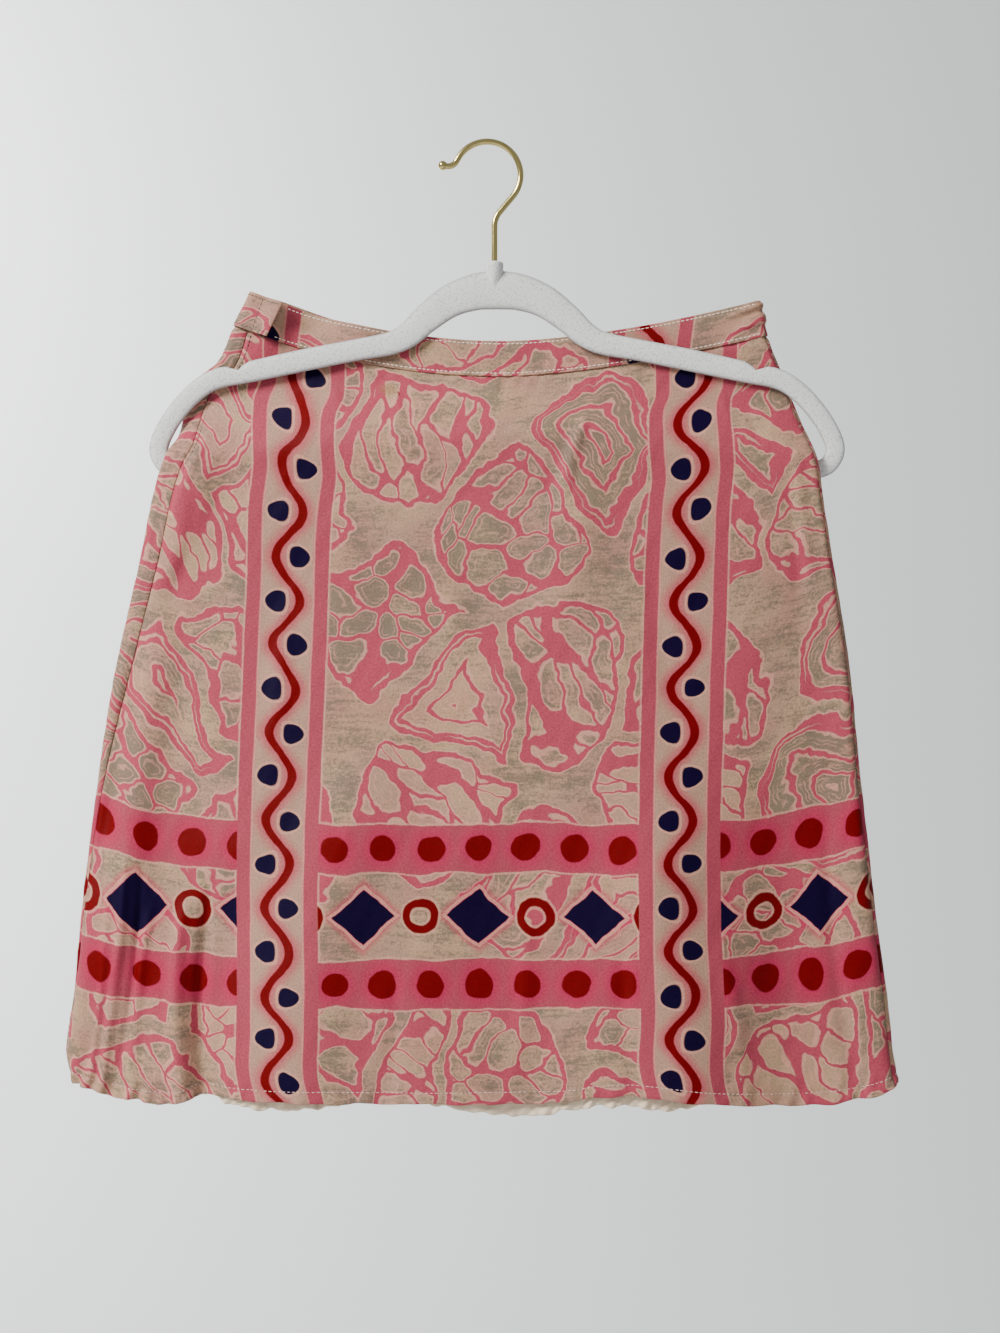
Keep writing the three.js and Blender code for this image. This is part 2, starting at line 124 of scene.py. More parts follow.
# The flattened tube at each level below the waist seam, as the frame's solids have it.
SECTIONS = Table(
    "drop left right rise_left rise_right half roll back",
    [
        [-23.2, -154.0, 173.5, 32.0, 26.4, 8.2, 3.8, -3.6],
        [0, -164.7, 178.3, 32.9, 26.5, 8.0, 3.8, -3.6],
        [22, -175.0, 187.0, 32.0, 26.0, 7.8, 3.9, -3.6],
        [32, -187.5, 190.8, 31.6, 25.6, 7.6, 4.1, -3.6],
        [45, -194.0, 196.3, 31.1, 25.3, 7.2, 4.3, -3.6],
        [60, -198.0, 202.0, 30.5, 24.9, 6.8, 4.3, -3.6],
        [72, -200.8, 206.0, 30.0, 24.6, 6.4, 4.2, -3.6],
        [82, -206.5, 209.0, 29.6, 24.3, 6.4, 4.2, -3.6],
        [100, -212.6, 211.4, 28.8, 23.8, 7.0, 4.4, -3.2],
        [140, -221.8, 218.2, 27.2, 22.8, 9.0, 5.0, 0.0],
        [210, -238.5, 229.8, 23.5, 20.0, 13.5, 6.5, 4.5],
        [280, -250.6, 237.2, 19.5, 17.5, 17.5, 8.0, 7.5],
        [350, -260.0, 245.8, 15.5, 14.5, 20.5, 9.5, 9.0],
        [405, -266.0, 254.0, 11.0, 10.5, 22.5, 10.5, 10.0],
        [440, -271.0, 257.6, 8.6, 8.2, 23.5, 11.0, 10.5],
        [458, -266.0, 261.0, 7.0, 6.8, 24.0, 11.5, 10.5],
    ],
)

# How far out from the hanger's middle, and between which heights, the cloth comes forward.
PASSAGE = Table(
    "out start finish",
    [
        [0, -137, -201], [66, -138, -201], [91, -141, -201], [124, -148, -201], [156, -155, -201],
        [180, -160, -201], [194.5, -169.5, -201], [204, -180, -198], [210, -181, -194],
        [240, -181, -193],
    ],
)

# The frame's large folds: x_top, z_top, x_bottom, z_bottom, reach, rise.
FOLDS = {
    FRONT: [
        (-176, -182, -207, -290, 16, 4.5), (-203, -262, -247, -585, 20, 6.0),
        (-222, -300, -257, -500, 10, -3.0), (-158, -440, -184, -640, 26, -5.0),
        (-96, -380, -118, -640, 40, 4.5), (62, -190, 44, -330, 26, 2.5),
        (16, -420, 30, -640, 46, -4.0), (96, -400, 128, -640, 44, 5.0),
        (176, -360, 196, -640, 34, -4.5), (222, -300, 243, -600, 20, 3.0),
    ],
    BACK: [
        (-120, -250, -168, -640, 40, 4.0), (-52, -330, -70, -640, 34, -3.5),
        (24, -270, 34, -640, 42, 3.5), (104, -300, 132, -640, 36, -4.0),
        (168, -250, 206, -640, 32, 4.0),
    ],
}

# The front hem isn't straight: how far it lifts, and how much longer the lining is.
HEM = Table(
    "x lift lining",
    [
        [-265, 0, -4], [-240, -3.0, -4], [-200, -4.0, -3], [-182, 2.0, 1], [-160, 1.0, 4.5],
        [-105, 1.0, 4.5], [-70, 0.3, -2], [-40, 0, -1], [-16, 0, 4.5], [24, 0, 8], [50, 1.0, 6],
        [66, 4.0, 7], [88, 5.0, 7], [112, 3.0, 7], [134, 0, 1], [152, -2.0, -4], [200, -6.0, -4],
        [240, -5.0, -4], [262, -1.0, -4],
    ],
)

SIDE_SEAM = Table(
    "drop inset",
    [[-23.2, 9], [20, 13], [190, 14], [290, 8], [370, 6], [458, 3]],
)

# Half of the hanger's loop, from the middle of the arch along the arm to its tip: out, z and width.
ARM = [
    (0, -92.8, 25), (14, -94.2, 23.5), (30, -100.0, 21), (45, -111.0, 18.5), (56, -121.0, 16.5),
    (68, -127.0, 14.8), (91, -131.4, 13.8), (124.4, -138.0, 14.2), (157, -145.0, 13.6),
    (180, -150.0, 13.0), (194, -159.0, 12.6), (206.5, -173.2, 12.4), (214.6, -187.5, 12.4),
    (216.2, -197.0, 12.2), (211.6, -205.0, 11.6), (203, -208.6, 11.2),
]
ARM_OVER_CLOTH = 13  # of its rows, before it turns down round the cloth's edge
NOTCH_OUT, NOTCH_REACH, NOTCH_DEPTH = 166.0, 7.0, 4.6

# Smaller creases and ridges laid on the folds: x_top, z_top, x_bottom, z_bottom, bend, width
# and height. Each bends between its top and its bottom, and its height is outwards.
CREASES = {
    FRONT: [
        (-170, -172, -206, -262, -5, 5.0, 1.5), (-184, -196, -214, -330, 6, 7.0, -1.2),
        (-229, -440, -247, -604, 3, 3.6, 2.0), (-220, -450, -237, -596, 4, 3.4, -1.6),
        (-239, -452, -254, -598, 2, 2.4, 1.3), (-233, -500, -245, -606, -2, 2.2, 1.0),
        (-211, -470, -226, -600, -3, 4.6, 1.6), (-192, -474, -193, -606, -5, 6.5, 5.0),
        (-174, -462, -180, -606, -5, 5.5, -6.4), (-162, -520, -165, -606, 3, 5.0, 1.2),
        (134, -131, 182, -138, 0, 2.6, -1.3), (150, -124, 179, -121, 0, 2.4, 1.0),
        (158, -130, 184, -130, 1, 2.2, 1.0), (-168, -122, -186, -134, 1, 2.6, 1.0),
        (-110, -153, -108, -186, 1, 4.0, -0.9), (-99, -152, -95, -178, -1, 3.5, 0.8),
        (-64, -150, -58, -196, 3, 5.5, 0.7), (64, -170, 46, -240, -4, 5.0, 2.4),
        (54, -170, 36, -232, -3, 4.5, -1.4), (166, -158, 172, -196, -2, 3.5, -0.9),
        (148, -154, 151, -184, 1, 4.0, 0.7), (196, -190, 210, -300, -5, 6.5, 1.3),
        (186, -200, 196, -330, 4, 7.0, -1.0), (-40, -236, -24, -352, 8, 12.0, 0.9),
        (104, -250, 122, -372, -7, 11.0, -1.0), (-132, -286, -146, -410, 6, 11.0, 1.1),
        (20, -470, 12, -598, 6, 8.0, 1.2), (84, -492, 92, -604, -5, 7.0, -1.2),
        (142, -505, 158, -606, 4, 8.0, 1.3), (214, -420, 232, -600, -5, 7.0, -1.5),
        (236, -330, 246, -470, 3, 5.0, 1.2), (-60, -520, -66, -606, 4, 7.5, -1.2),
    ],
    BACK: [
        (-168, -214, -206, -330, -5, 6.5, 1.2), (-214, -400, -236, -566, 4, 6.0, 1.6),
        (-92, -240, -104, -380, 7, 11.0, -1.0), (-20, -236, -8, -330, -5, 10.0, 0.9),
        (62, -240, 52, -352, 5, 12.0, -0.9), (146, -232, 168, -372, -6, 9.0, 1.1),
        (214, -360, 236, -560, 4, 6.5, -1.5), (186, -470, 196, -604, -4, 7.0, 1.4),
        (96, -486, 104, -602, 5, 8.0, 1.2), (-4, -490, -12, -602, -4, 8.0, -1.2),
        (-124, -478, -136, -602, 5, 7.0, 1.3),
    ],
}

# Small folds at the band's right end: their height on the band, and where they start and end.
BAND_FOLDS = [(16.5, 146, 164), (7.0, 150, 170), (11.0, 158, 172)]
BAND_FOLD_RISE = 1.7


def ease(value, start, end):
    t = np.clip((value - start) / (end - start), 0, 1)
    return t * t * (3 - 2 * t)


def blend(a, b, share):
    return a + (b - a) * share


def uneven(u, v, size, seed, waves=5):
    """A smooth uneven field, mostly between -1 and 1, of bumps about size across."""
    draw = random.Random(seed)
    field = np.zeros(np.broadcast(u, v).shape)
    for _ in range(waves):
        heading = draw.uniform(0, math.pi)
        turns = 2 * math.pi / (2 * size * draw.uniform(0.7, 1.4))
        phase = draw.uniform(0, 2 * math.pi)
        field += np.sin((u * math.cos(heading) + v * math.sin(heading)) * turns + phase)
    return field / math.sqrt(waves)


def half_girth(s):
    return s["right"] - s["left"] + (math.pi - 2) * s["roll"]


def left_seam(drop):
    return SIDE_SEAM.at(drop)["inset"]


def right_seam(s):
    return half_girth(s) - math.pi / 4 * s["roll"]


def fold_rise(side, x, z):
    rise = np.zeros(np.shape(x))
    for facing, folds in FOLDS.items():
        for x_top, z_top, x_bottom, z_bottom, reach, height in folds:
            down = (z_top - z) / (z_top - z_bottom)
            across = (x - blend(x_top, x_bottom, down)) / reach
            fade = ease(down, 0, 0.3) * (1 if z_bottom < -600 else ease(down, 1, 0.7))
            here = (side == facing) & (down > 0) & (down < 1)
            rise += np.where(here, height * fade * np.exp(-2 * across**2), 0)
    return rise


def forward_share(out, z):
    """0 where the cloth hangs behind the arms, and 1 where it hangs in front of the bar."""
    passage = PASSAGE.at(out)
    start, finish = passage["start"], passage["finish"]
    down = np.clip((start - z) / (start - finish), 0, 1)
    early = (1 - (1 - down) ** 2) * ease(down, 0, 0.8)
    return blend(ease(z, start, finish), early, ease(out, 180, 60))


def hem_lift(x, side, lining):
    row = HEM.at(x)
    if lining:
        return np.where(side == FRONT, row["lift"] - row["lining"], 1.5 * np.sin(x / 31) + 3)
    return np.where(side == FRONT, row["lift"], 1.5 * np.sin(x / 31) - 1)


def cloth_point(drop, turn, lining):
    """The frame's cloth surface: turn goes 0 to 1 over the front and 1 to 2 over the back."""
    s = SECTIONS.at(drop)
    girth, roll = half_girth(s), s["roll"]
    wrapped = np.mod(turn, 2)
    side = np.where(wrapped <= 1, FRONT, BACK)
    along = girth * np.where(wrapped <= 1, wrapped, 2 - wrapped)
    quarter = math.pi / 2 * roll
    from_end = np.minimum(along, girth - along)
    angle = np.minimum(from_end, quarter) / roll
    inset = roll * (1 - np.cos(angle)) + np.maximum(from_end - quarter, 0)
    x = np.where(along < girth / 2, s["left"] + inset, s["right"] - inset)
    middle = (s["left"] + s["right"]) / 2
    t = 2 * (x - middle) / (s["right"] - s["left"])
    rise_end = np.where(t < 0, s["rise_left"], s["rise_right"])
    rise_power = np.where(t < 0, 2, 1.6) + 5 * np.maximum(drop / FRONT_LENGTH, 0)
    lift_share = ease(t, -0.45, -0.9) * ease(from_end, 0, 24) * ease(drop, 90, 0)
    back_lift = np.where(side == BACK, BACK_LIFT * lift_share, 0)
    hem_share = ease(drop, FRONT_LENGTH - HEM_REACH, FRONT_LENGTH)
    z = WAIST_SEAM_Z - drop + rise_end * np.abs(t) ** rise_power + back_lift
    z = z + hem_share * hem_lift(x, side, lining)
    flat_t = np.clip(2 * (x - middle) / (s["right"] - s["left"] - 2 * roll), -1, 1)
    depth = roll + (s["half"] - roll) * (1 - flat_t**4) ** 2
    forward = forward_share(np.abs(x - HANGER_X), z)
    behind_arms = HANGER_THICKNESS / 2 + CLEARANCE + SOLID_SHELL / 2 + depth
    centre = blend(behind_arms, s["back"] - depth, forward)
    stand = np.where(from_end < quarter, roll * np.sin(angle), depth)
    folds = 0 if lining else fold_rise(side, x, z)
    return np.stack([x, centre + side * (stand + folds), z], -1)


def unit(vectors):
    return vectors / np.linalg.norm(vectors, axis=-1, keepdims=True)


def crease_rise(side, x, z):
    rise = np.zeros(np.shape(x))
    for facing, creases in CREASES.items():
        for x_top, z_top, x_bottom, z_bottom, bend, width, height in creases:
            run_x, run_z = x_bottom - x_top, z_bottom - z_top
            length = math.hypot(run_x, run_z)
            down = ((x - x_top) * run_x + (z - z_top) * run_z) / length**2
            across = ((x - x_top) * run_z - (z - z_top) * run_x) / length
            off = (across + bend * 4 * down * (1 - down)) / (width * (0.7 + 0.5 * np.abs(down)))
            fade = ease(down, 0, 0.3) * (ease(down, 1.2, 1) if z_bottom < HEM_Z else ease(down, 1, 0.55))
            rise += np.where(side == facing, height * fade * np.exp(-2 * off**2), 0)
    return rise


def hanger_room(side, x, z):
    """0 where the cloth lies against the hanger, and 1 where it hangs clear of it."""
    out = np.abs(x - HANGER_X)
    arm_out, arm_z, arm_width = np.array(ARM[:ARM_OVER_CLOTH]).T
    from_arm = np.abs(z - np.interp(out, arm_out, arm_z)) - np.interp(out, arm_out, arm_width) / 2
    from_bar = np.abs(z - BAR_Z) - BAR_HEIGHT / 2
    clear_of_arm = np.where(side == FRONT, ease(from_arm, 1.5, 14), 1)
    clear_of_bar = np.where(side == BACK, ease(from_bar, 2, 22), 1)
    beyond = ease(out, 190, 205) * ease(z, -160, -172) * ease(z, -222, -210)
    return np.minimum(clear_of_arm, clear_of_bar) * (1 - 0.85 * beyond)


def lap_hollow(drop, along, side):
    """The cloth sinks in just beyond the end of the lap."""
    beside_lap = ease(along, LAP - 4, LAP + 15) * ease(along, LAP + 54, LAP + 20)
    depth = LAP_HOLLOW * ease(drop, 20, -4) + LAP_TOP_HOLLOW * ease(drop, -6, -16)
    return np.where(side == FRONT, beside_lap * depth, 0)


def lap_stand(past):
    """How far the lap lies out from the band under it. Its end stands off a little more."""
    return LAP_OUT * ease(past, 0, TUCK - 1.5) + LAP_LIFT * ease(past, LAP - 13, LAP)


def shell_relief(drop, along, side, x, z):
    """How far creases, puckers and slack stand out on the outer cloth."""
    slack = ease(drop, 70, 230)
    rise = crease_rise(side, x, z)
    rise += (0.25 + 0.75 * slack) * 0.6 * uneven(x, z * 0.45, 34, 11)
    rise += 0.13 * uneven(along, drop * 0.6, 7, 12)
    gathered = np.exp(-np.maximum(drop, 0) / 9) * ease(drop, -4, 1)
    rise += 0.28 * gathered * uneven(along, drop * 0.15, 5.2, 13)
    from_hem = FRONT_LENGTH - drop
    edge = np.exp(-np.maximum(from_hem, 0) / 8)
    twisted = 0.5 + ease(x, -150, -185) + 0.6 * ease(x, 120, 150)
    rise += 1.0 * edge * twisted * uneven(along + 0.7 * drop, drop * 0.3, 5.5, 14)
    stitched = np.exp(-(((from_hem - HEM_STITCH) / 1.8) ** 2))
    rise += 0.2 * stitched * uneven(along, drop * 0, 3.1, 15) - 0.3 * stitched
    limit = 0.55 + 3.6 * slack + 0.9 * ease(z, -145, -135)
    limit = limit + 1.6 * ((side == FRONT) & (rise > 0)) + 2.2 * ease(drop, 330, 420)
    return hanger_room(side, x, z) * limit * np.tanh(rise / limit) - lap_hollow(drop, along, side)


def lining_relief(drop, along, side, x, z):
    loose = ease(drop, 120, 220)
    outer = shell_relief(drop, along, side, x, z)
    pressed = np.minimum(outer + fold_rise(side, x, z), 0)
    edge = np.exp(-np.maximum(FRONT_LENGTH - drop, 0) / 11)
    twist = edge * (1.5 * uneven(along + 0.9 * drop, drop * 0.4, 4.2, 22) - 0.6)
    return blend(outer, pressed + 0.6 * uneven(x, z * 0.4, 26, 21), loose) + twist


def band_relief(drop, along, side, x, z):
    seam = np.exp(-np.abs(drop + 1.5) / 3.5)
    top = np.exp(-np.abs(drop + BAND_HEIGHT - 1.5) / 3)
    rise = 0.22 * (seam + 0.7 * top) * uneven(along, drop * 0.2, 4.4, 31)
    rise += 0.22 * uneven(along, drop * 0.5, 17, 32)
    rise *= 0.35 + 0.65 * hanger_room(side, x, z)
    for height, start, end in BAND_FOLDS:
        fold = np.exp(-(((drop + height + 0.12 * (x - start)) / 1.8) ** 2))
        rise += np.where(side == FRONT, BAND_FOLD_RISE * fold * ease(x, start, end), 0)
    return rise - lap_hollow(drop, along, side)


def on_cloth(relief, drop, turn, out=0.0, below=0.0, lining=False):
    """Points and outward normals of a cloth with all its creases, moved out and down from it."""
    drop, turn = np.broadcast_arrays(np.asarray(drop, float), np.asarray(turn, float))
    step = 0.3
    girth = half_girth(SECTIONS.at(drop))
    point = cloth_point(drop, turn, lining)
    down = cloth_point(drop + step, turn, lining) - cloth_point(drop - step, turn, lining)
    turn_step = step / girth
    across = cloth_point(drop, turn + turn_step, lining) - cloth_point(drop, turn - turn_step, lining)
    normal = unit(np.cross(down, across))
    side = np.where(np.mod(turn, 2) <= 1, FRONT, BACK)
    rise = relief(drop, turn * girth, side, point[..., 0], point[..., 2])
    moved = point + normal * (rise + out)[..., None] + unit(down) * np.asarray(below)[..., None]
    return moved, normal


def deselect():
    bpy.ops.object.select_all(action="DESELECT")


def activate(piece):
    deselect()
    piece.select_set(True)
    bpy.context.view_layer.objects.active = piece


def named(name):
    piece = bpy.context.object
    piece.name = piece.data.name = name
    return piece


def settled(name):
    """The new primitive by its name, with its place and size put into its mesh."""
    piece = named(name)
    bpy.ops.object.transform_apply(location=True, rotation=True, scale=True)
    return piece


def mode(name):
    bpy.ops.object.mode_set(mode=name)


def edit_all(kind="VERT"):
    mode("EDIT")
    bpy.ops.mesh.select_mode(type=kind)
    bpy.ops.mesh.select_all(action="SELECT")


def edit_only(parts, wanted, kind="FACE"):
    """Go into edit mode with the wanted faces or edges selected, and nothing else."""
    edit_all(kind)
    bpy.ops.mesh.select_all(action="DESELECT")
    mode("OBJECT")
    for part in parts:
        part.select = wanted(part)
    mode("EDIT")


def extrude(vector):
    bpy.ops.mesh.extrude_region_move(TRANSFORM_OT_translate={"value": vector})


def face_outwards():
    edit_all()
    bpy.ops.mesh.normals_make_consistent(inside=False)
    mode("OBJECT")


def modify(piece, kind, **settings):
    """Add a modifier to a piece, set it and apply it."""
    modifier = piece.modifiers.new(kind, kind)
    for key, value in settings.items():
        setattr(modifier, key, value)
    activate(piece)
    bpy.ops.object.modifier_apply(modifier=modifier.name)


def thicken(piece, wall, material_step=0):
    modify(
        piece, "SOLIDIFY", thickness=wall * MM, offset=0, use_even_offset=False,
        material_offset=material_step, material_offset_rim=0)


def round_edges(piece, radius, segments, sharper_than):
    modify(
        piece, "BEVEL", width=radius * MM, segments=segments,
        limit_method="ANGLE", angle_limit=math.radians(sharper_than))


def cloth_grid(name, columns, rows, place, closed=False):
    """A grid primitive whose corners are laid on a cloth. place gives points and print places."""
    deselect()
    bpy.ops.mesh.primitive_grid_add(x_subdivisions=columns, y_subdivisions=rows, size=1)
    piece = named(name)
    mesh = piece.data
    flat = np.empty(len(mesh.vertices) * 3)
    mesh.vertices.foreach_get("co", flat)
    flat = flat.reshape(-1, 3)
    across, down = flat[:, 0] + 0.5, 0.5 - flat[:, 1]
    points, prints = place(across, down)
    mesh.vertices.foreach_set("co", (points * MM).ravel())
    corners = np.empty(len(mesh.loops), int)
    mesh.loops.foreach_get("vertex_index", corners)
    mesh.uv_layers[0].name = "cut"
    mesh.uv_layers[0].data.foreach_set("uv", (prints[corners] * MM).ravel())
    mesh.update()
    if closed:
        edit_all()
        bpy.ops.mesh.remove_doubles(threshold=1e-6)
        mode("OBJECT")
    bpy.ops.object.shade_smooth()
    return piece


def hem_path(run, length):
    """Cloth that turns up at the hem: where run millimetres of it have got to."""
    fold = math.pi * HEM_FOLD
    angle = np.clip((run - length) / HEM_FOLD, 0, math.pi)
    drop = np.minimum(run, length) - np.maximum(run - length - fold, 0)
    return drop, -HEM_FOLD * (1 - np.cos(angle)), HEM_FOLD * np.sin(angle)


def rolled_in(along, start, end):
    """A panel's cut edges turn in to the seams at its sides."""
    return -0.7 * (ease(along - start, 2.2, 0) + ease(end - along, 2.2, 0))


def panel(name, columns, rows, edges, middle_turn):
    """A skirt panel with its seam allowance under the band and its hem turned up."""
    length = FRONT_LENGTH - HEM_FOLD
    runs = [-SEAM_ALLOWANCE, 0, 60, length - 12, length, length + math.pi * HEM_FOLD]
    runs.append(runs[-1] + HEM_TURN_UP)
    shares = np.array([0, 3, 41, rows - 23, rows - 14, rows - 6, rows]) / rows

    def place(across, down):
        run = np.interp(down, shares, runs)
        drop, inward, below = hem_path(run, length)
        s = SECTIONS.at(drop)
        stops, marks = edges(s, drop)
        along = np.empty(len(across))
        for i in range(len(marks) - 1):
            here = (across >= marks[i]) & (across <= marks[i + 1])
            share = (across - marks[i]) / (marks[i + 1] - marks[i])
            along = np.where(here, blend(stops[i], stops[i + 1], share), along)
        tucked = -1.05 * ease(run, 3.2, -0.6)
        out = inward + tucked + rolled_in(along, stops[0], stops[-1])
        girth = half_girth(s)
        below = below + 0.7 * ease(run, length - 14, length) * uneven(along, along * 0, 9, 16)
        points, _ = on_cloth(shell_relief, drop, along / girth, out, below)
        return points, np.stack([along - middle_turn * girth, run], -1)

    piece = cloth_grid(name, columns, rows, place)
    thicken(piece, SHELL_CLOTH, 1)
    return piece


def front_edges(s, drop):
    start, end = left_seam(drop) + HALF_GAP, right_seam(s) - HALF_GAP
    return [start, start + 14, start + 62, end - 16, end], [0, 0.045, 0.2, 0.95, 1]


def back_edges(s, drop):
    girth, quarter = half_girth(s), math.pi / 2 * s["roll"]
    start, end = right_seam(s) + HALF_GAP, 2 * girth + left_seam(drop) - HALF_GAP
    return [start, girth + quarter + 3, 2 * girth - quarter - 3, end], [0, 0.08, 0.87, 1]


def lining_piece():
    """The lining is one tube, turned up at its hem."""
    length = FRONT_LENGTH - HEM_FOLD

    def place(across, down):
        marks = [0, 0.75, 0.93, 0.965, 1]
        run = np.interp(down, marks, [-5, length - 30, length, length + 1.7, length + 7])
        drop, inward, below = hem_path(run, length)
        girth = half_girth(SECTIONS.at(drop))
        slack = LINING_SLACK * ease(drop, 95, 260) * (1 - 0.7 * ease(drop, 400, 452))
        inside = SOLID_SHELL / 2 + LINING_GAP + slack + SOLID_LINING / 2
        turn = np.interp(across, [0, LINING_FRONT_SHARE, 1], [0, 1, 2])
        below = below + 1.1 * ease(run, length - 16, length) * uneven(turn * girth, run * 0, 8, 23)
        points, _ = on_cloth(lining_relief, drop, turn, inward - inside, below, lining=True)
        return points, np.stack([turn * girth, run], -1)

    piece = cloth_grid("skirt_lining", 480, 92, place, closed=True)
    thicken(piece, LINING_CLOTH)
    return piece


def band(name, columns, edges, middle_turn):
    """A folded, interfaced band with rounded edges."""
    shift_u, shift_v = 31.0, 610.0

    def place(across, down):
        drop = blend(-BAND_HEIGHT + 0.3, -0.1, down)
        s = SECTIONS.at(drop)
        girth = half_girth(s)
        start, end = edges(s)
        along = blend(start, end, across)
        out = lap_stand(along - 2 * girth)
        points, _ = on_cloth(band_relief, drop, along / girth, out)
        return points, np.stack([along - middle_turn * girth + shift_u, drop + shift_v], -1)

    piece = cloth_grid(name, columns, BAND_ROWS, place)
    thicken(piece, BAND_CLOTH)
    round_edges(piece, 0.45, 3, 50)
    return piece


def front_band_edges(s):
    return TUCK, right_seam(s) - HALF_GAP


def back_band_edges(s):
    return right_seam(s) + HALF_GAP, 2 * half_girth(s) + LAP


def one_stitch(name, length, width):
    """A thread's short run over the cloth: a six-sided bar, tapered to both ends."""
    deselect()
    bpy.ops.mesh.primitive_cylinder_add(vertices=6, radius=width / 2, depth=length * 0.6)
    piece = named(name)
    edit_all()
    bpy.ops.transform.rotate(value=math.pi / 2, orient_axis="Y", center_override=(0, 0, 0))
    mode("OBJECT")
    for end in (-1, 1):
        edit_only(piece.data.polygons, lambda face: face.normal.x * end > 0.9)
        extrude((end * length * 0.2, 0, 0))
        centre = (end * length / 2, 0, -width * 0.2)
        bpy.ops.transform.resize(value=(1, 0.35, 0.35), center_override=centre)
        mode("OBJECT")
    bpy.ops.object.shade_smooth()
    return piece


def stitch_places(points, normals, pitch, seed):
    """Where stitches lie along a line of points: a frame for each, one pitch apart."""
    draw = random.Random(seed)
    steps = np.linalg.norm(np.diff(points, axis=0), axis=1)
    reached = np.concatenate([[0], np.cumsum(steps)])

    def at_run(rows, run):
        return Vector([np.interp(run, reached, rows[:, k]) for k in range(3)])

    places = []
    for centre in np.arange(pitch / 2, reached[-1], pitch):
        centre += draw.uniform(-0.08, 0.08) * pitch
        up = at_run(normals, centre).normalized()
        along = (at_run(points, centre + 0.5) - at_run(points, centre - 0.5)).normalized()
        along.rotate(Matrix.Rotation(draw.uniform(-0.07, 0.07), 3, up))
        sideways = up.cross(along).normalized()
        turned = Matrix((along, sideways, along.cross(sideways))).transposed().to_4x4()
        places.append(Matrix.Translation(at_run(points, centre) * MM) @ turned)
    return places


def stitching(name, places, length, width):
    """A run of stitches, modelled once and copied to each place."""
    first = one_stitch(name, length * MM, width * MM)
    copies = []
    for place in places:
        copy = first.copy()
        copy.data = first.data.copy()
        copy.data.transform(place)
        bpy.context.collection.objects.link(copy)
        copies.append(copy)
    bpy.data.objects.remove(first)
    deselect()
    for copy in copies:
        copy.select_set(True)
    bpy.context.view_layer.objects.active = copies[0]
    bpy.ops.object.join()
    return named(name)


def seam_line(relief, drop, along_from, along_to, out, count=400):
    """Points along a seam, between two places that follow from s and drop. drop may be a pair."""
    share = np.linspace(0, 1, count)
    drops = blend(drop[0], drop[1], share) if isinstance(drop, tuple) else np.full(count, drop)
    s = SECTIONS.at(drops)
    along = blend(along_from(s, drops), along_to(s, drops), share)
    offset = out + lap_stand(along - 2 * half_girth(s)) * (relief is band_relief)
    return on_cloth(relief, drops, along / half_girth(s), offset)


def arm_curve(points, samples):
    """A Catmull-Rom curve through (out, z, width), evenly sampled between its points."""
    points = np.array(points, float)
    padded = np.vstack([2 * points[0] - points[1], points, 2 * points[-1] - points[-2]])
    curve, headings = [], []
    spans = len(points) - 1
    for k in np.linspace(0, spans, samples + 1):
        i = min(int(k), spans - 1)
        t = k - i
        a, b, c, d = padded[i : i + 4]
        slope_b, slope_c = (c - a) / 2, (d - b) / 2
        cubic, square = 2 * b - 2 * c + slope_b + slope_c, -3 * b + 3 * c - 2 * slope_b - slope_c
        curve.append(((cubic * t + square) * t + slope_b) * t + b)
        headings.append((3 * cubic * t + 2 * square) * t + slope_b)
    return np.array(curve), np.array(headings)


def hanger_loop():
    """The loop of arms and bar: middle line, outward heading and the reach to either side."""
    arm, heading = arm_curve(ARM, 150)
    outward = np.stack([-heading[:, 1], heading[:, 0]], -1)
    outward /= np.linalg.norm(outward, axis=1, keepdims=True)
    notch = NOTCH_DEPTH * np.exp(-(((arm[:, 0] - NOTCH_OUT) / NOTCH_REACH) ** 2) * 3)
    reach = np.stack([arm[:, 2] / 2 - notch, arm[:, 2] / 2], -1)
    bar_out = np.linspace(BAR_CORNER_OUT - 4, 4, 40)
    bar = np.stack([bar_out, np.full(40, BAR_Z)], -1)
    bar_up = np.tile([0.0, -1.0], (40, 1))
    bar_reach = np.full((40, 2), BAR_HEIGHT / 2)
    halves = np.vstack([arm[:, :2], bar]), np.vstack([outward, bar_up]), np.vstack([reach, bar_reach])
    mirrors = [-1, 1], [-1, 1], [1, 1]
    return [np.vstack([half, half[:0:-1] * mirror]) for half, mirror in zip(halves, mirrors)]


def hanger_body():
    """A flocked moulding: a torus primitive drawn out to the loop, joined to its neck."""
    line, outward, reach = hanger_loop()
    sides = 24
    deselect()
    bpy.ops.mesh.primitive_torus_add(
        major_segments=len(line), minor_segments=sides, major_radius=1, minor_radius=0.25)
    body = named("hanger_flocked_body")
    for vertex in body.data.vertices:
        x, y, z = vertex.co
        station = round(math.atan2(y, x) / (2 * math.pi) * len(line)) % len(line)
        angle = math.atan2(z, math.hypot(x, y) - 1)
        across, thick = math.cos(angle), math.sin(angle)
        power = HANGER_SQUARENESS
        out = (abs(across) ** power + abs(thick) ** power) ** (-1 / power)
        across, thick = across * out, thick * out
        side = reach[station][0] if across > 0 else reach[station][1]
        at = line[station] + outward[station] * across * side
        vertex.co = Vector((at[0] + HANGER_X, -thick * HANGER_THICKNESS / 2, at[1])) * MM
    face_outwards()
    neck = hanger_neck()
    modify(body, "BOOLEAN", operation="UNION", object=neck, solver="EXACT")
    bpy.data.objects.remove(neck)
    bpy.ops.object.shade_smooth_by_angle(angle=math.radians(40))
    return body


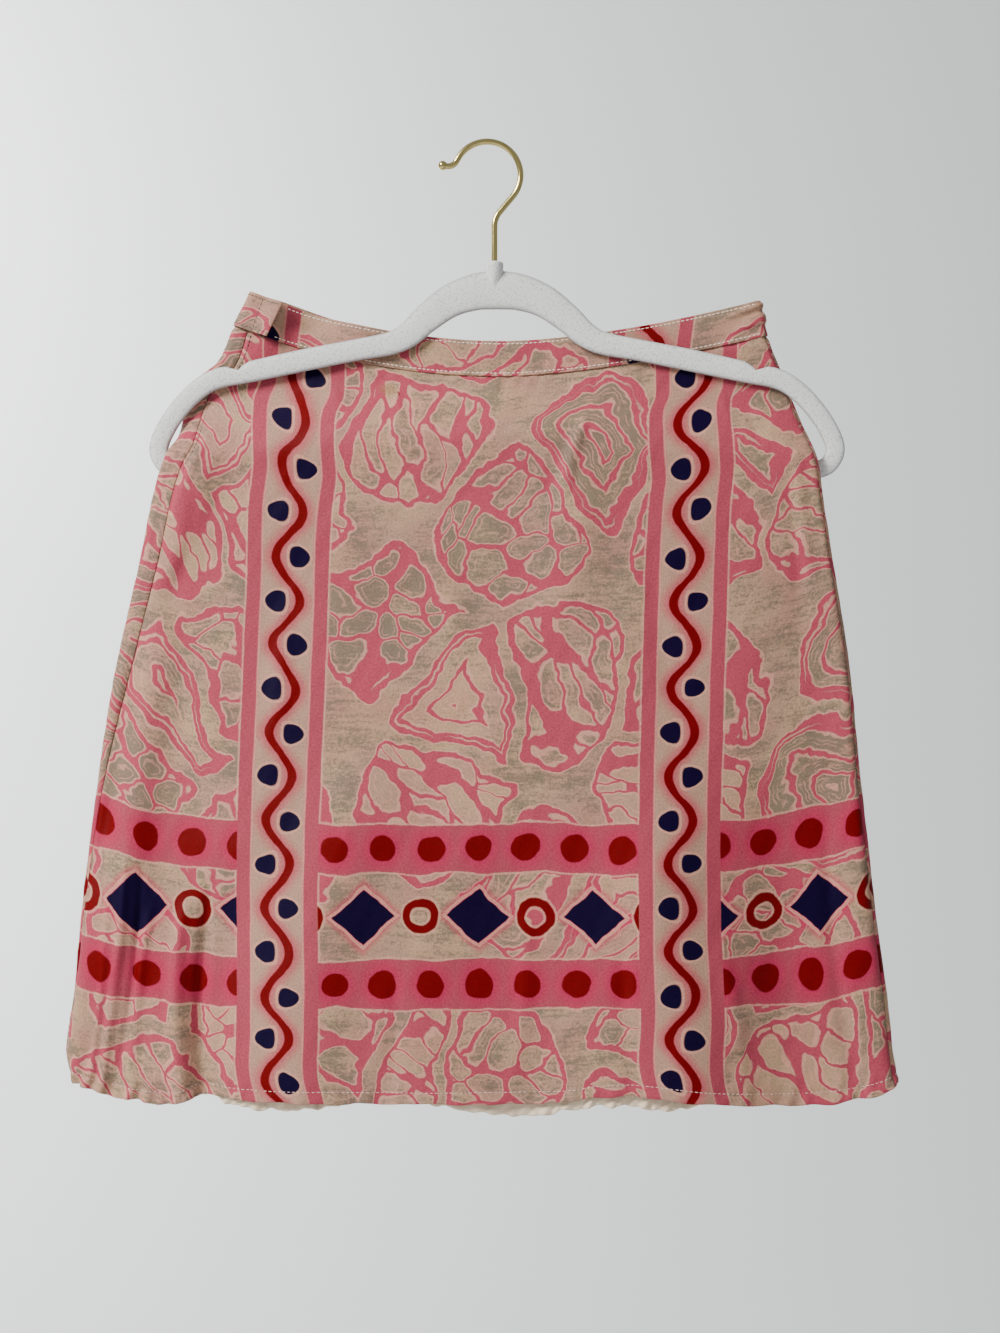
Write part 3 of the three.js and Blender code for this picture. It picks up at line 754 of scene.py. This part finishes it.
def hanger_neck():
    """The round socket that the wire goes into: a rounded rim, a bore, and a foot that tapers off."""
    low = ARCH_TOP_Z - 1
    deselect()
    bpy.ops.mesh.primitive_cylinder_add(
        vertices=40, radius=NECK_RADIUS * MM, depth=(NECK_TOP_Z - low) * MM,
        location=(NECK_X * MM, 0, (NECK_TOP_Z + low) / 2 * MM))
    neck = settled("hanger_neck")
    edit_only(neck.data.polygons, lambda face: face.normal.z > 0.9)
    bpy.ops.mesh.inset(thickness=(NECK_RADIUS - WIRE_RADIUS - 0.5) * MM)
    extrude((0, 0, -NECK_BORE * MM))
    mode("OBJECT")
    edit_only(neck.data.polygons, lambda face: face.normal.z < -0.9)
    extrude((0, 0, -NECK_FOOT * MM))
    bpy.ops.transform.resize(
        value=(NECK_FOOT_SHARE, NECK_FOOT_SHARE, 1),
        center_override=(NECK_X * MM, 0, (low - NECK_FOOT) * MM))
    mode("OBJECT")
    round_edges(neck, 1.5, 6, 60)
    return neck


def hanger_hook():
    """Round wire: one ring extruded up the shaft and spun round each bend of the hook."""
    foot_z, shaft_top = ARCH_TOP_Z + 1.5, -52.1
    bend, lead, tail_length, curl, tip = 14.0, 13.1, 2.4, 6.0, Vector((-2.4, 0, 0.4))
    start, arc_end, curl_turn = math.radians(-40), math.radians(150), math.radians(70)
    deselect()
    bpy.ops.mesh.primitive_circle_add(
        vertices=20, radius=WIRE_RADIUS * MM, fill_type="NGON",
        location=(NECK_X * MM, 0, foot_z * MM))
    hook = settled("hanger_wire_hook")
    arc_end_at = Vector((
        HOOK_CENTRE[0] + HOOK_RADIUS * math.cos(arc_end), 0,
        HOOK_CENTRE[1] + HOOK_RADIUS * math.sin(arc_end)))
    tail = Vector((-0.5, 0, -0.866)) * tail_length
    curl_centre = arc_end_at + tail + Vector((-0.866, 0, 0.5)) * curl
    edit_all()

    def bend_round(centre, angle, steps):
        bpy.ops.mesh.spin(
            steps=steps, angle=-angle, use_auto_merge=False, dupli=False,
            center=(centre[0] * MM, 0, centre[1] * MM), axis=(0, 1, 0))

    extrude((0, 0, (shaft_top - foot_z) * MM))
    bend_round((NECK_X + bend, shaft_top), -start, 10)
    extrude((lead * math.sin(-start) * MM, 0, lead * math.cos(start) * MM))
    bend_round(HOOK_CENTRE, start - arc_end, 56)
    extrude(tail * MM)
    bend_round((curl_centre.x, curl_centre.z), curl_turn, 12)
    extrude(tip * MM)
    mode("OBJECT")
    end = max(hook.data.polygons, key=lambda face: -face.center.x if len(face.vertices) > 4 else -9)
    end_at = end.center.copy()
    deselect()
    bpy.ops.mesh.primitive_uv_sphere_add(
        segments=24, ring_count=16, radius=BALL_RADIUS * MM, location=end_at)
    ball = settled("hook_ball")
    activate(hook)
    ball.select_set(True)
    bpy.ops.object.join()
    face_outwards()
    bpy.ops.object.shade_smooth_by_angle(angle=math.radians(50))
    return hook


def srgb(red, green, blue):
    """A colour as a picture shows it, from 0 to 255, as the light a surface gives back."""
    shown = [value / 255 for value in (red, green, blue)]
    linear = [c / 12.92 if c <= 0.04045 else ((c + 0.055) / 1.055) ** 2.4 for c in shown]
    return (*linear, 1.0)


def pour(value, slot):
    """Feed a node's slot with a dye, or set it to a number or a fixed colour."""
    if isinstance(value, Dye):
        value.tree.links.new(value.socket, slot)
    else:
        slot.default_value = value


class Dye:
    """A number, place or colour that a material's nodes work out at each point of a surface."""

    def __init__(self, tree, socket):
        self.tree, self.socket = tree, socket

    def math(self, operation, *others):
        node = self.tree.nodes.new("ShaderNodeMath")
        node.operation = operation
        for slot, value in zip(node.inputs, (self, *others)):
            pour(value, slot)
        return Dye(self.tree, node.outputs[0])

    def __add__(self, other):
        return self.math("ADD", other)

    def __sub__(self, other):
        return self.math("SUBTRACT", other)

    def __mul__(self, other):
        return self.math("MULTIPLY", other)

    def minus_from(self, whole):
        return self.math("MULTIPLY_ADD", -1.0, whole)

    def abs(self):
        return self.math("ABSOLUTE")

    def most(self, other):
        return self.math("MAXIMUM", other)

    def repeat(self, pitch, shift=0.0):
        """Distance along each repeat of a pattern, from minus to plus half a pitch."""
        moved = self + (shift + pitch / 2) if shift + pitch / 2 else self
        return moved.math("FLOORED_MODULO", pitch) - pitch / 2

    def under(self, limit, blur):
        """1 where this is less than limit and 0 where it is more, over a soft edge."""
        node = self.tree.nodes.new("ShaderNodeMapRange")
        node.interpolation_type = "SMOOTHSTEP"
        settings = {"Value": self - limit, "From Min": -blur, "From Max": blur, "To Min": 1, "To Max": 0}
        for name, value in settings.items():
            pour(value, node.inputs[name])
        return Dye(self.tree, node.outputs["Result"])


class Bench:
    """The nodes of one material, with the helpers that lay colours on it."""

    def __init__(self, name):
        self.material = bpy.data.materials.new(name)
        self.material.use_nodes = True
        self.tree = self.material.node_tree

    def dye(self, kind, inputs, output=0, **settings):
        """What a new node gives, once it is set and its inputs are filled."""
        made = self.tree.nodes.new("ShaderNode" + kind)
        for key, value in settings.items():
            setattr(made, key, value)
        for slot, value in inputs.items():
            pour(value, made.inputs[slot])
        return Dye(self.tree, made.outputs[output])

    def parts(self, place):
        first = self.dye("SeparateXYZ", {0: place})
        return [Dye(self.tree, socket) for socket in first.socket.node.outputs]

    def cut_place(self):
        """Places on the flat cut, in millimetres across and down it."""
        across, down, _ = self.parts(self.dye("UVMap", {}, uv_map="cut"))
        return across * 1000.0, down * 1000.0

    def object_place(self):
        """Places on a piece, in millimetres."""
        return self.scaled(self.dye("TexCoord", {}, "Object"), 1000.0)

    def vector(self, u, v):
        return self.dye("CombineXYZ", {0: u, 1: v})

    def noise(self, place, size, detail=2.0, roughness=0.5, colour=False, solid=False):
        return self.dye(
            "TexNoise", {"Vector": place, "Scale": 1 / size, "Detail": detail, "Roughness": roughness},
            "Color" if colour else "Fac", noise_dimensions="3D" if solid else "2D")

    def cells(self, place, size, feature, output="Distance"):
        return self.dye(
            "TexVoronoi", {"Vector": place, "Scale": 1 / size}, output,
            voronoi_dimensions="2D", feature=feature)

    def lay(self, under, over, share):
        """One colour laid over another where share is 1. Either may be a fixed colour."""
        return self.dye("Mix", {0: share, 6: under, 7: over}, 2, data_type="RGBA")

    def layers(self, colour, *more):
        """Colours laid one after another, each with its share."""
        for over, share in more:
            colour = self.lay(colour, over, share)
        return colour

    def scaled(self, colour, factor):
        """A colour made lighter or darker, or a place moved out, by a factor."""
        return self.dye("VectorMath", {0: colour, "Scale": factor}, operation="SCALE")

    def relief(self, height, distance):
        return self.dye("Bump", {"Height": height, "Distance": distance * MM})

    def coat(self, colour, **values):
        """The material with its colour, and with numbers or dyes for the shader's other sockets."""
        for name, value in {"Base_Color": colour, **values}.items():
            pour(value, self.tree.nodes["Principled BSDF"].inputs[name.replace("_", " ")])
        return self.material


# Colours of the print, as the share of red, green and blue light that each gives back
CREAM = (0.46, 0.295, 0.178, 1)
ROSE_CREAM = (0.40, 0.235, 0.165, 1)
SAGE = (0.128, 0.110, 0.080, 1)
PINK = (0.40, 0.060, 0.090, 1)
DEEP_PINK = (0.31, 0.052, 0.074, 1)
PALE_RESIST = (0.62, 0.29, 0.22, 1)
HOT_PINK = (0.46, 0.010, 0.072, 1)
RED = (0.14, 0.0006, 0.002, 1)
VIOLET = (0.004, 0.0001, 0.020, 1)
OCHRE = (0.27, 0.150, 0.065, 1)

# Layout of the print on the flat cut, in millimetres from the middle and from the waist seam
RAILS = (300.0, 384.0)
RAIL_HALF = 15.0
STRIPE_OUT = 126.0
STRIPE_HALF = 26.0
CORE_HALF = 16.0
ISLAND = 84.0
PEBBLE = 19.0
LOBE = 13.0
RING_PITCH = 11.0
DOT_PITCH = 30.0
DOT = 8.6
WAVE_PITCH = 54.0
WAVE_SWING = 8.0
WAVE_HALF = 2.9
BUD = 6.6
DIAMOND_PITCH = 72.0
DIAMOND = 17.2
HOOP = 9.0
HOOP_HALF = 2.6
STAIN = (-72.0, 13.6)  # a small old mark under the waist seam
STAIN_SIZE = (6.5, 5.0)
RESIST_RIM = 1.3  # how wide a pale line the resist leaves


def drawn(distance, half, blur=0.35):
    """A printed line or shape with the pale edge that its resist leaves: its fill and that edge."""
    fill = distance.under(half, blur)
    edge = (distance - RESIST_RIM).under(half, 0.5)
    return fill, edge - fill


def rounded_cells(bench, place, size, rounding):
    """How far in from its cell's edge a place lies, in millimetres, with the corners rounded off."""
    edge = bench.cells(place, size, "DISTANCE_TO_EDGE") * size
    centre = bench.cells(place, size, "F1") * size
    return edge.math("SMOOTH_MIN", centre.minus_from(size * 0.66), rounding)


def reach(bench, u, v):
    """How far a place lies from the origin of two measures."""
    return bench.dye("VectorMath", {0: bench.vector(u, v)}, "Value", operation="LENGTH")


def ground_colours(bench, u, v, slow, quick, cloud):
    """Drawn islands on a brushed ground: pebbles, long lobes or rings in each."""
    u1 = u + (slow[0] - 0.5) * 24.0 + (quick[0] - 0.5) * 5.0
    v1 = v + (slow[1] - 0.5) * 24.0 + (quick[1] - 0.5) * 5.0
    hand = bench.vector(u1, v1)
    kind, lean, tone = bench.parts(bench.cells(hand, ISLAND, "F1", "Color"))
    inland = rounded_cells(bench, hand, ISLAND, 12.0) - (lean * 8.0 + 2.5)

    pebble = rounded_cells(bench, hand, PEBBLE, 3.5)
    heading = lean * math.pi
    cosine, sine = heading.math("COSINE"), heading.math("SINE")
    along, across = u1 * cosine + v1 * sine, v1 * cosine - u1 * sine
    lobe = rounded_cells(bench, bench.vector(along * 0.36, across), LOBE, 2.0)
    ring = (inland.repeat(RING_PITCH, -4.0)).abs() - 0.4

    pebbled = kind.under(0.36, 0.002)
    lobed = kind.under(0.72, 0.002) - pebbled
    inner = pebble * pebbled + lobe * lobed + ring * (pebbled + lobed).minus_from(1.0)
    inner = inner.math("SMOOTH_MIN", inland - 1.0, 2.5)
    gap = slow[2] * 1.5
    drawing = (inner - gap).most(inland * -1.0 - slow[2] * 3.0)
    lines = drawing.under(0.0, 0.2)
    rims = drawing.under(1.0, 0.25) - lines

    brush = bench.noise(bench.vector(u * 0.3, v * 1.7), 13, 4, 0.68)
    streak = bench.noise(bench.vector(u * 0.28, v * 1.5), 4.2, 3, 0.7)
    mottle = bench.noise(bench.vector(u * 0.8, v), 1.9, 3, 0.75)
    in_island = inland.under(0.0, 0.5).minus_from(1.0)
    grey = (tone - 0.5) * in_island + cloud * 1.5 + brush + streak * 1.1 + mottle * 1.3 - 2.0
    etched = (inner - gap - 3.2).abs().under(0.35, 0.3) * quick[2].under(0.52, 0.12) * in_island
    colour = bench.layers(
        CREAM,
        (ROSE_CREAM, slow[0].under(0.52, 0.2)),
        (PINK, slow[1].under(0.46, 0.14) * 0.16),
        (SAGE, grey.under(0.56, 0.34).minus_from(1.0) * 0.75),
        (PALE_RESIST, etched * 0.55),
        (PINK, lines),
        (PALE_RESIST, rims * 0.75))
    return colour, brush


def printed_colours(bench, u, v):
    """The print: the ground, with two rails and two stripes of small motifs across it."""
    flat = bench.vector(u, v)
    slow = bench.parts(bench.noise(flat, 42, 1, colour=True))
    quick = bench.parts(bench.noise(flat, 9, 1, colour=True))
    cloud = bench.noise(flat, 34, 3, 0.6)
    colour, brush = ground_colours(bench, u, v, slow, quick, cloud)

    hand_u = u + (slow[0] - 0.5) * 5.0 + (quick[0] - 0.5) * 1.8
    hand_v = v + (slow[1] - 0.5) * 7.0 + (quick[1] - 0.5) * 1.8
    stripe_u = (u + (slow[0] - 0.5) * 1.6).abs() - STRIPE_OUT
    stripe, stripe_edge = drawn(stripe_u.abs(), STRIPE_HALF)
    from_middle = (hand_v - (RAILS[0] + RAILS[1]) / 2).abs()
    rail_v = from_middle - (RAILS[1] - RAILS[0]) / 2
    rail, rail_edge = drawn(rail_v.abs(), RAIL_HALF)
    between = rail_v.under(-RAIL_HALF, 0.3)
    pinks = rail.most(stripe)
    on_stripe, core_edge = drawn(stripe_u.abs(), CORE_HALF, 0.5)
    off_stripe = stripe.minus_from(1.0)
    on_rail, on_strip = rail * off_stripe, between * off_stripe
    dot = reach(bench, hand_u.repeat(DOT_PITCH), rail_v)
    swing = (hand_v * (2 * math.pi / WAVE_PITCH)).math("SINE")
    wave = (stripe_u - swing * WAVE_SWING).abs()
    bud = reach(bench, stripe_u + swing * 7.5, hand_v.repeat(WAVE_PITCH / 2, WAVE_PITCH / 4))
    diamond = hand_u.repeat(DIAMOND_PITCH).abs() * 0.9 + from_middle
    hoop = (reach(bench, hand_u.repeat(DIAMOND_PITCH, DIAMOND_PITCH / 2), from_middle) - HOOP).abs()

    glow = (dot.under(DOT + 3.4, 7.0) * on_rail).most(wave.under(WAVE_HALF + 3.6, 6.5) * on_stripe)
    glow = glow.most(diamond.under(DIAMOND + 4.8, 4.5) * on_strip)
    halo = (diamond.under(DIAMOND + 3.0, 0.5) - diamond.under(DIAMOND + 0.3, 0.4)) * on_strip
    halo = halo.most((bud.under(BUD + 1.8, 0.4) - bud.under(BUD + 0.3, 0.4)) * on_stripe)
    halo = halo.most((hoop.under(HOOP_HALF + 1.6, 0.5) - hoop.under(HOOP_HALF + 0.2, 0.4)) * on_strip)
    reds = (dot.under(DOT, 0.5) * on_rail).most(wave.under(WAVE_HALF, 0.4) * on_stripe)
    reds = reds.most(hoop.under(HOOP_HALF, 0.4) * on_strip)
    violets = (diamond.under(DIAMOND, 0.4) * on_strip).most(bud.under(BUD, 0.4) * on_stripe)
    colour = bench.layers(
        colour,
        (bench.lay(PINK, DEEP_PINK, cloud), pinks),
        (PALE_RESIST, (rail_edge.most(stripe_edge) - pinks) * 0.7),
        (ROSE_CREAM, on_stripe),
        (PALE_RESIST, core_edge * 0.7),
        (HOT_PINK, glow * 0.75),
        (PALE_RESIST, halo * 0.7),
        (RED, reds),
        (VIOLET, violets))
    return colour, cloud, brush


def old_stain(bench, u, v, colour, speck):
    """A faint ochre mark with a few dark flecks at its edge."""
    mark = reach(bench, (u - STAIN[0]) * (1 / STAIN_SIZE[0]), (v - STAIN[1]) * (1 / STAIN_SIZE[1]))
    colour = bench.lay(colour, OCHRE, (mark + speck * 1.3).under(1.35, 0.4) * 0.6)
    fleck = reach(bench, u - (STAIN[0] + 7.0), (v - STAIN[1] - 2.0) * 0.4)
    return bench.lay(colour, RED, (fleck + speck * 3.0).under(2.1, 0.3) * 0.7)


def weave(bench, u, v, thread):
    """Threads over and under each other, with the odd slub."""
    warp = (u * (2 * math.pi / thread)).math("SINE")
    weft = (v * (2 * math.pi / thread)).math("SINE")
    slub = bench.noise(bench.vector(u * 0.25, v), 1.1, 2)
    return warp * weft * 0.5 + slub * 1.6


def printed_silk(name, faded):
    """Printed cloth. Its wrong side shows the same print through the cloth, paler."""
    bench = Bench(name)
    u, v = bench.cut_place()
    colour, cloud, brush = printed_colours(bench, u, v)
    if faded:
        colour = bench.lay(colour, ROSE_CREAM, cloud * 0.2 + 0.3)
    speck = bench.noise(bench.vector(u, v), 1.3, 3, 0.85)
    if not faded:
        colour = old_stain(bench, u, v, colour, speck)
    grain = bench.noise(bench.vector(u * 3.0, v * 0.35), 1.6, 2)
    shade = speck * 1.1 + grain * 0.16 + cloud * 0.16 + 0.27
    return bench.coat(
        bench.scaled(colour, shade), Roughness=brush * 0.16 + 0.36,
        Normal=bench.relief(weave(bench, u, v, 0.55) + speck * 1.2, 0.05),
        Specular_IOR_Level=0.07, Sheen_Weight=0.01, Sheen_Roughness=0.4)


def lining_cloth():
    bench = Bench("cream_lining_cloth")
    u, v = bench.cut_place()
    cloud = bench.noise(bench.vector(u, v), 40, 3)
    speck = bench.noise(bench.vector(u, v), 0.9, 2, 0.7)
    colour = bench.lay((0.92, 0.73, 0.54, 1), (0.80, 0.62, 0.44, 1), cloud)
    return bench.coat(
        bench.scaled(colour, speck * 0.2 + 0.88), Roughness=cloud * 0.2 + 0.45,
        Normal=bench.relief(weave(bench, u, v, 0.5) + speck, 0.05),
        Specular_IOR_Level=0.25, Sheen_Weight=0.04)


def flock():
    """Short fibres on a moulding: pale and specked, with a faint sheen, and with painted shade darkening
    the rim where its section turns away from the light.
    """
    bench = Bench("pale_flock")
    at = bench.object_place()
    fibre = bench.noise(at, 0.55, 3, 0.75, solid=True)
    fleck = bench.noise(at, 1.3, 2, 0.6, solid=True)
    worn = bench.noise(at, 24, 3, solid=True)
    colour = bench.lay(srgb(232, 232, 230), srgb(218, 218, 217), worn)
    colour = bench.lay(colour, srgb(132, 132, 134), fleck.under(0.41, 0.05) * 0.45)
    # painted shade: a dark grey line along the rim, where the section's faces turn away from the light
    depth = bench.parts(at)[1].abs()
    colour = bench.lay(colour, srgb(120, 120, 122), depth.under(1.5, 0.7) * 0.6)
    return bench.coat(
        bench.scaled(colour, fibre * 0.6 + 0.68), Roughness=fibre * 0.1 + 0.86,
        Normal=bench.relief(fibre + fleck * 0.5, 0.22),
        Specular_IOR_Level=0.15, Sheen_Weight=0.05, Sheen_Roughness=0.6)


def gold_wire():
    bench = Bench("pale_gold_wire")
    at = bench.object_place()
    tarnish = bench.noise(at, 7, 3, solid=True)
    fine = bench.noise(at, 0.7, 2, solid=True)
    colour = bench.lay(srgb(211, 194, 134), srgb(178, 160, 98), tarnish)
    roughness = tarnish * 0.12 + fine * 0.06 + 0.10
    return bench.coat(colour, Roughness=roughness, Normal=bench.relief(fine, 0.01), Metallic=1.0)


def thread(name, light, dark):
    bench = Bench(name)
    at = bench.object_place()
    shade = bench.noise(at, 1.2, 2, solid=True)
    twist = bench.noise(at, 0.2, 1, solid=True)
    return bench.coat(
        bench.lay(light, dark, shade), Roughness=twist * 0.2 + 0.5, Normal=bench.relief(twist, 0.05),
        Specular_IOR_Level=0.35, Sheen_Weight=0.2)


def backdrop_paper():
    bench = Bench("backdrop_paper")
    tone = bench.noise(bench.object_place(), 900, 2, solid=True)
    colour = bench.lay(srgb(226, 228, 228), srgb(222, 224, 225), tone)
    return bench.coat(colour, Roughness=0.95, Specular_IOR_Level=0.1)


def finish(piece, slot, *materials):
    piece.data.materials.clear()
    for material in materials:
        piece.data.materials.append(material)
    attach(piece, "root")


def sew():
    """The seams' thread: along the band, the side seam and the hem."""
    places = {"pale": [], "rose": [], "dark": []}

    def run(colour, relief, drop, start, end, seed, pitch=STITCH_PITCH, count=400):
        cloth = BAND_CLOTH if relief is band_relief else SHELL_CLOTH
        line = seam_line(relief, drop, start, end, cloth / 2 + 0.02, count)
        places[colour] += stitch_places(*line, pitch, seed)

    front_from, front_to = (lambda s, d: LAP + 3), (lambda s, d: right_seam(s) - 2)
    back_from, back_to = (lambda s, d: right_seam(s) + 2), (lambda s, d: 2 * half_girth(s) - 2)
    lap_from, lap_to = (lambda s, d: 2 * half_girth(s)), (lambda s, d: 2 * half_girth(s) + LAP - 2.2)
    for seed, drop in ((101, -BAND_HEIGHT + 2.3), (104, -2.0)):
        run("pale", band_relief, drop, front_from, front_to, seed)
        run("pale", band_relief, drop, back_from, back_to, seed + 1)
        # the lap's stitches use the dark thread: partly the thread's own colour, partly painted shadow
        # of the needle holes round them
        run("dark", band_relief, drop, lap_from, lap_to, seed + 2)
    beside = lambda s, d: 2 * half_girth(s) + left_seam(d) + 2.4
    run("dark", shell_relief, (1.5, 86.0), beside, beside, 130)
    run("dark", band_relief, (-BAND_HEIGHT + 1.5, -1.0), beside, beside, 131)
    hem, hem_from = FRONT_LENGTH - HEM_STITCH, (lambda s, d: left_seam(d) + 2)
    hem_back_to = lambda s, d: 2 * half_girth(s) + left_seam(d) - 2
    run("rose", shell_relief, hem, hem_from, front_to, 140, HEM_STITCH_PITCH, 900)
    run("rose", shell_relief, hem, back_from, hem_back_to, 141, HEM_STITCH_PITCH, 900)
    threads = {
        "pale": ("band_stitches", "waistband_cloth", 0.62, srgb(250, 238, 222), srgb(232, 212, 192)),
        "rose": ("hem_stitches", "printed_cloth", 0.46, srgb(228, 202, 190), srgb(200, 164, 154)),
        "dark": ("side_stitches", "printed_cloth", 0.55, srgb(112, 92, 82), srgb(76, 60, 54)),
    }
    for colour, (name, slot, width, light, dark) in threads.items():
        piece = stitching(name, places[colour], STITCH_LENGTH, width)
        finish(piece, slot, thread(f"{colour}_thread", light, dark))


def dress():
    """Every piece of the skirt and the hanger, with the frame's parts that they stand for hidden."""
    silk, wrong_side = printed_silk("printed_silk", False), printed_silk("printed_silk_inside", True)
    front = panel("skirt_front", 216, 200, front_edges, 0.5)
    back = panel("skirt_back", 228, 190, back_edges, 1.5)
    front_band = band("waistband_front_cloth", 190, front_band_edges, 0.5)
    back_band = band("waistband_back_cloth", 210, back_band_edges, 1.5)
    lining = lining_piece()
    body, hook = hanger_body(), hanger_hook()
    for piece, node in ((front, "front_panel"), (back, "back_panel")):
        finish(piece, "printed_cloth", silk, wrong_side)
        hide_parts(node)
    for piece, node in ((front_band, "waistband_front"), (back_band, "waistband_back")):
        finish(piece, "waistband_cloth", silk)
        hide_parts(node)
    finish(lining, "lining_cloth", lining_cloth())
    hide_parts("lining")
    finish(body, "flocked_plastic", flock())
    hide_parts("hanger_body")
    finish(hook, "gold_wire", gold_wire())
    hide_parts("hanger_hook")
    sew()


def stage():
    """A pale floor that curves up behind into a backdrop."""
    floor_z, half_width, front_y, back_y, height, curve = -1.55, 10.0, -12.0, 3.2, 6.0, 1400
    deselect()
    bpy.ops.mesh.primitive_plane_add(size=1, location=(0, 0, floor_z))
    bpy.ops.transform.resize(value=(2 * half_width, back_y - front_y, 1))
    bpy.ops.transform.translate(value=(0, (front_y + back_y) / 2, 0))
    floor = settled("studio_floor")
    corners = floor.data.vertices
    edit_only(floor.data.edges, lambda edge: all(corners[i].co.y > 0 for i in edge.vertices), "EDGE")
    extrude((0, 0, height))
    mode("OBJECT")
    round_edges(floor, curve, 16, 30)
    bpy.ops.object.shade_smooth()
    floor.data.materials.append(backdrop_paper())


def soft_light(name, place, aim, size, power, colour):
    lamp = bpy.data.lights.new(name, "AREA")
    lamp.shape, lamp.size = "DISK", size
    lamp.energy, lamp.color = power, colour
    holder = bpy.data.objects.new(name, lamp)
    bpy.context.collection.objects.link(holder)
    holder.location = place
    holder.rotation_euler = (Vector(aim) - Vector(place)).to_track_quat("-Z", "Y").to_euler()


def studio():
    world = bpy.data.worlds.new("studio_air")
    bpy.context.scene.world = world
    world.use_nodes = True
    air = world.node_tree.nodes["Background"].inputs
    air["Color"].default_value = (0.95, 0.975, 1.0, 1)
    air["Strength"].default_value = 0.42
    soft_light(
        "window_light", place=(-2.1, -1.7, 1.45), aim=(0, 0, -0.3), size=1.2, power=192,
        colour=(1.0, 0.985, 0.96))
    soft_light(
        "wall_light", place=(-2.3, 1.7, 0.9), aim=(-1.9, 3.2, 0.2), size=1.2, power=150,
        colour=(1.0, 1.0, 0.99))


def camera():
    """The photograph's view: straight on, from a little way off, a portrait picture."""
    picture = (1000, 1333)
    mm_per_pixel, distance = 0.64, 1.25
    centre = Vector((6.4 * MM, 0, -333.8 * MM))
    lens = bpy.data.cameras.new("photo_camera")
    lens.sensor_width = 36
    lens.lens = lens.sensor_width * distance / (max(picture) * mm_per_pixel * MM)
    lens.clip_start, lens.clip_end = 0.05, 30
    holder = bpy.data.objects.new("photo_camera", lens)
    bpy.context.collection.objects.link(holder)
    holder.location = centre - Vector((0, distance, 0))
    holder.rotation_euler = (math.pi / 2, 0, 0)
    bpy.context.scene.camera = holder


camera()
stage()
studio()
dress()
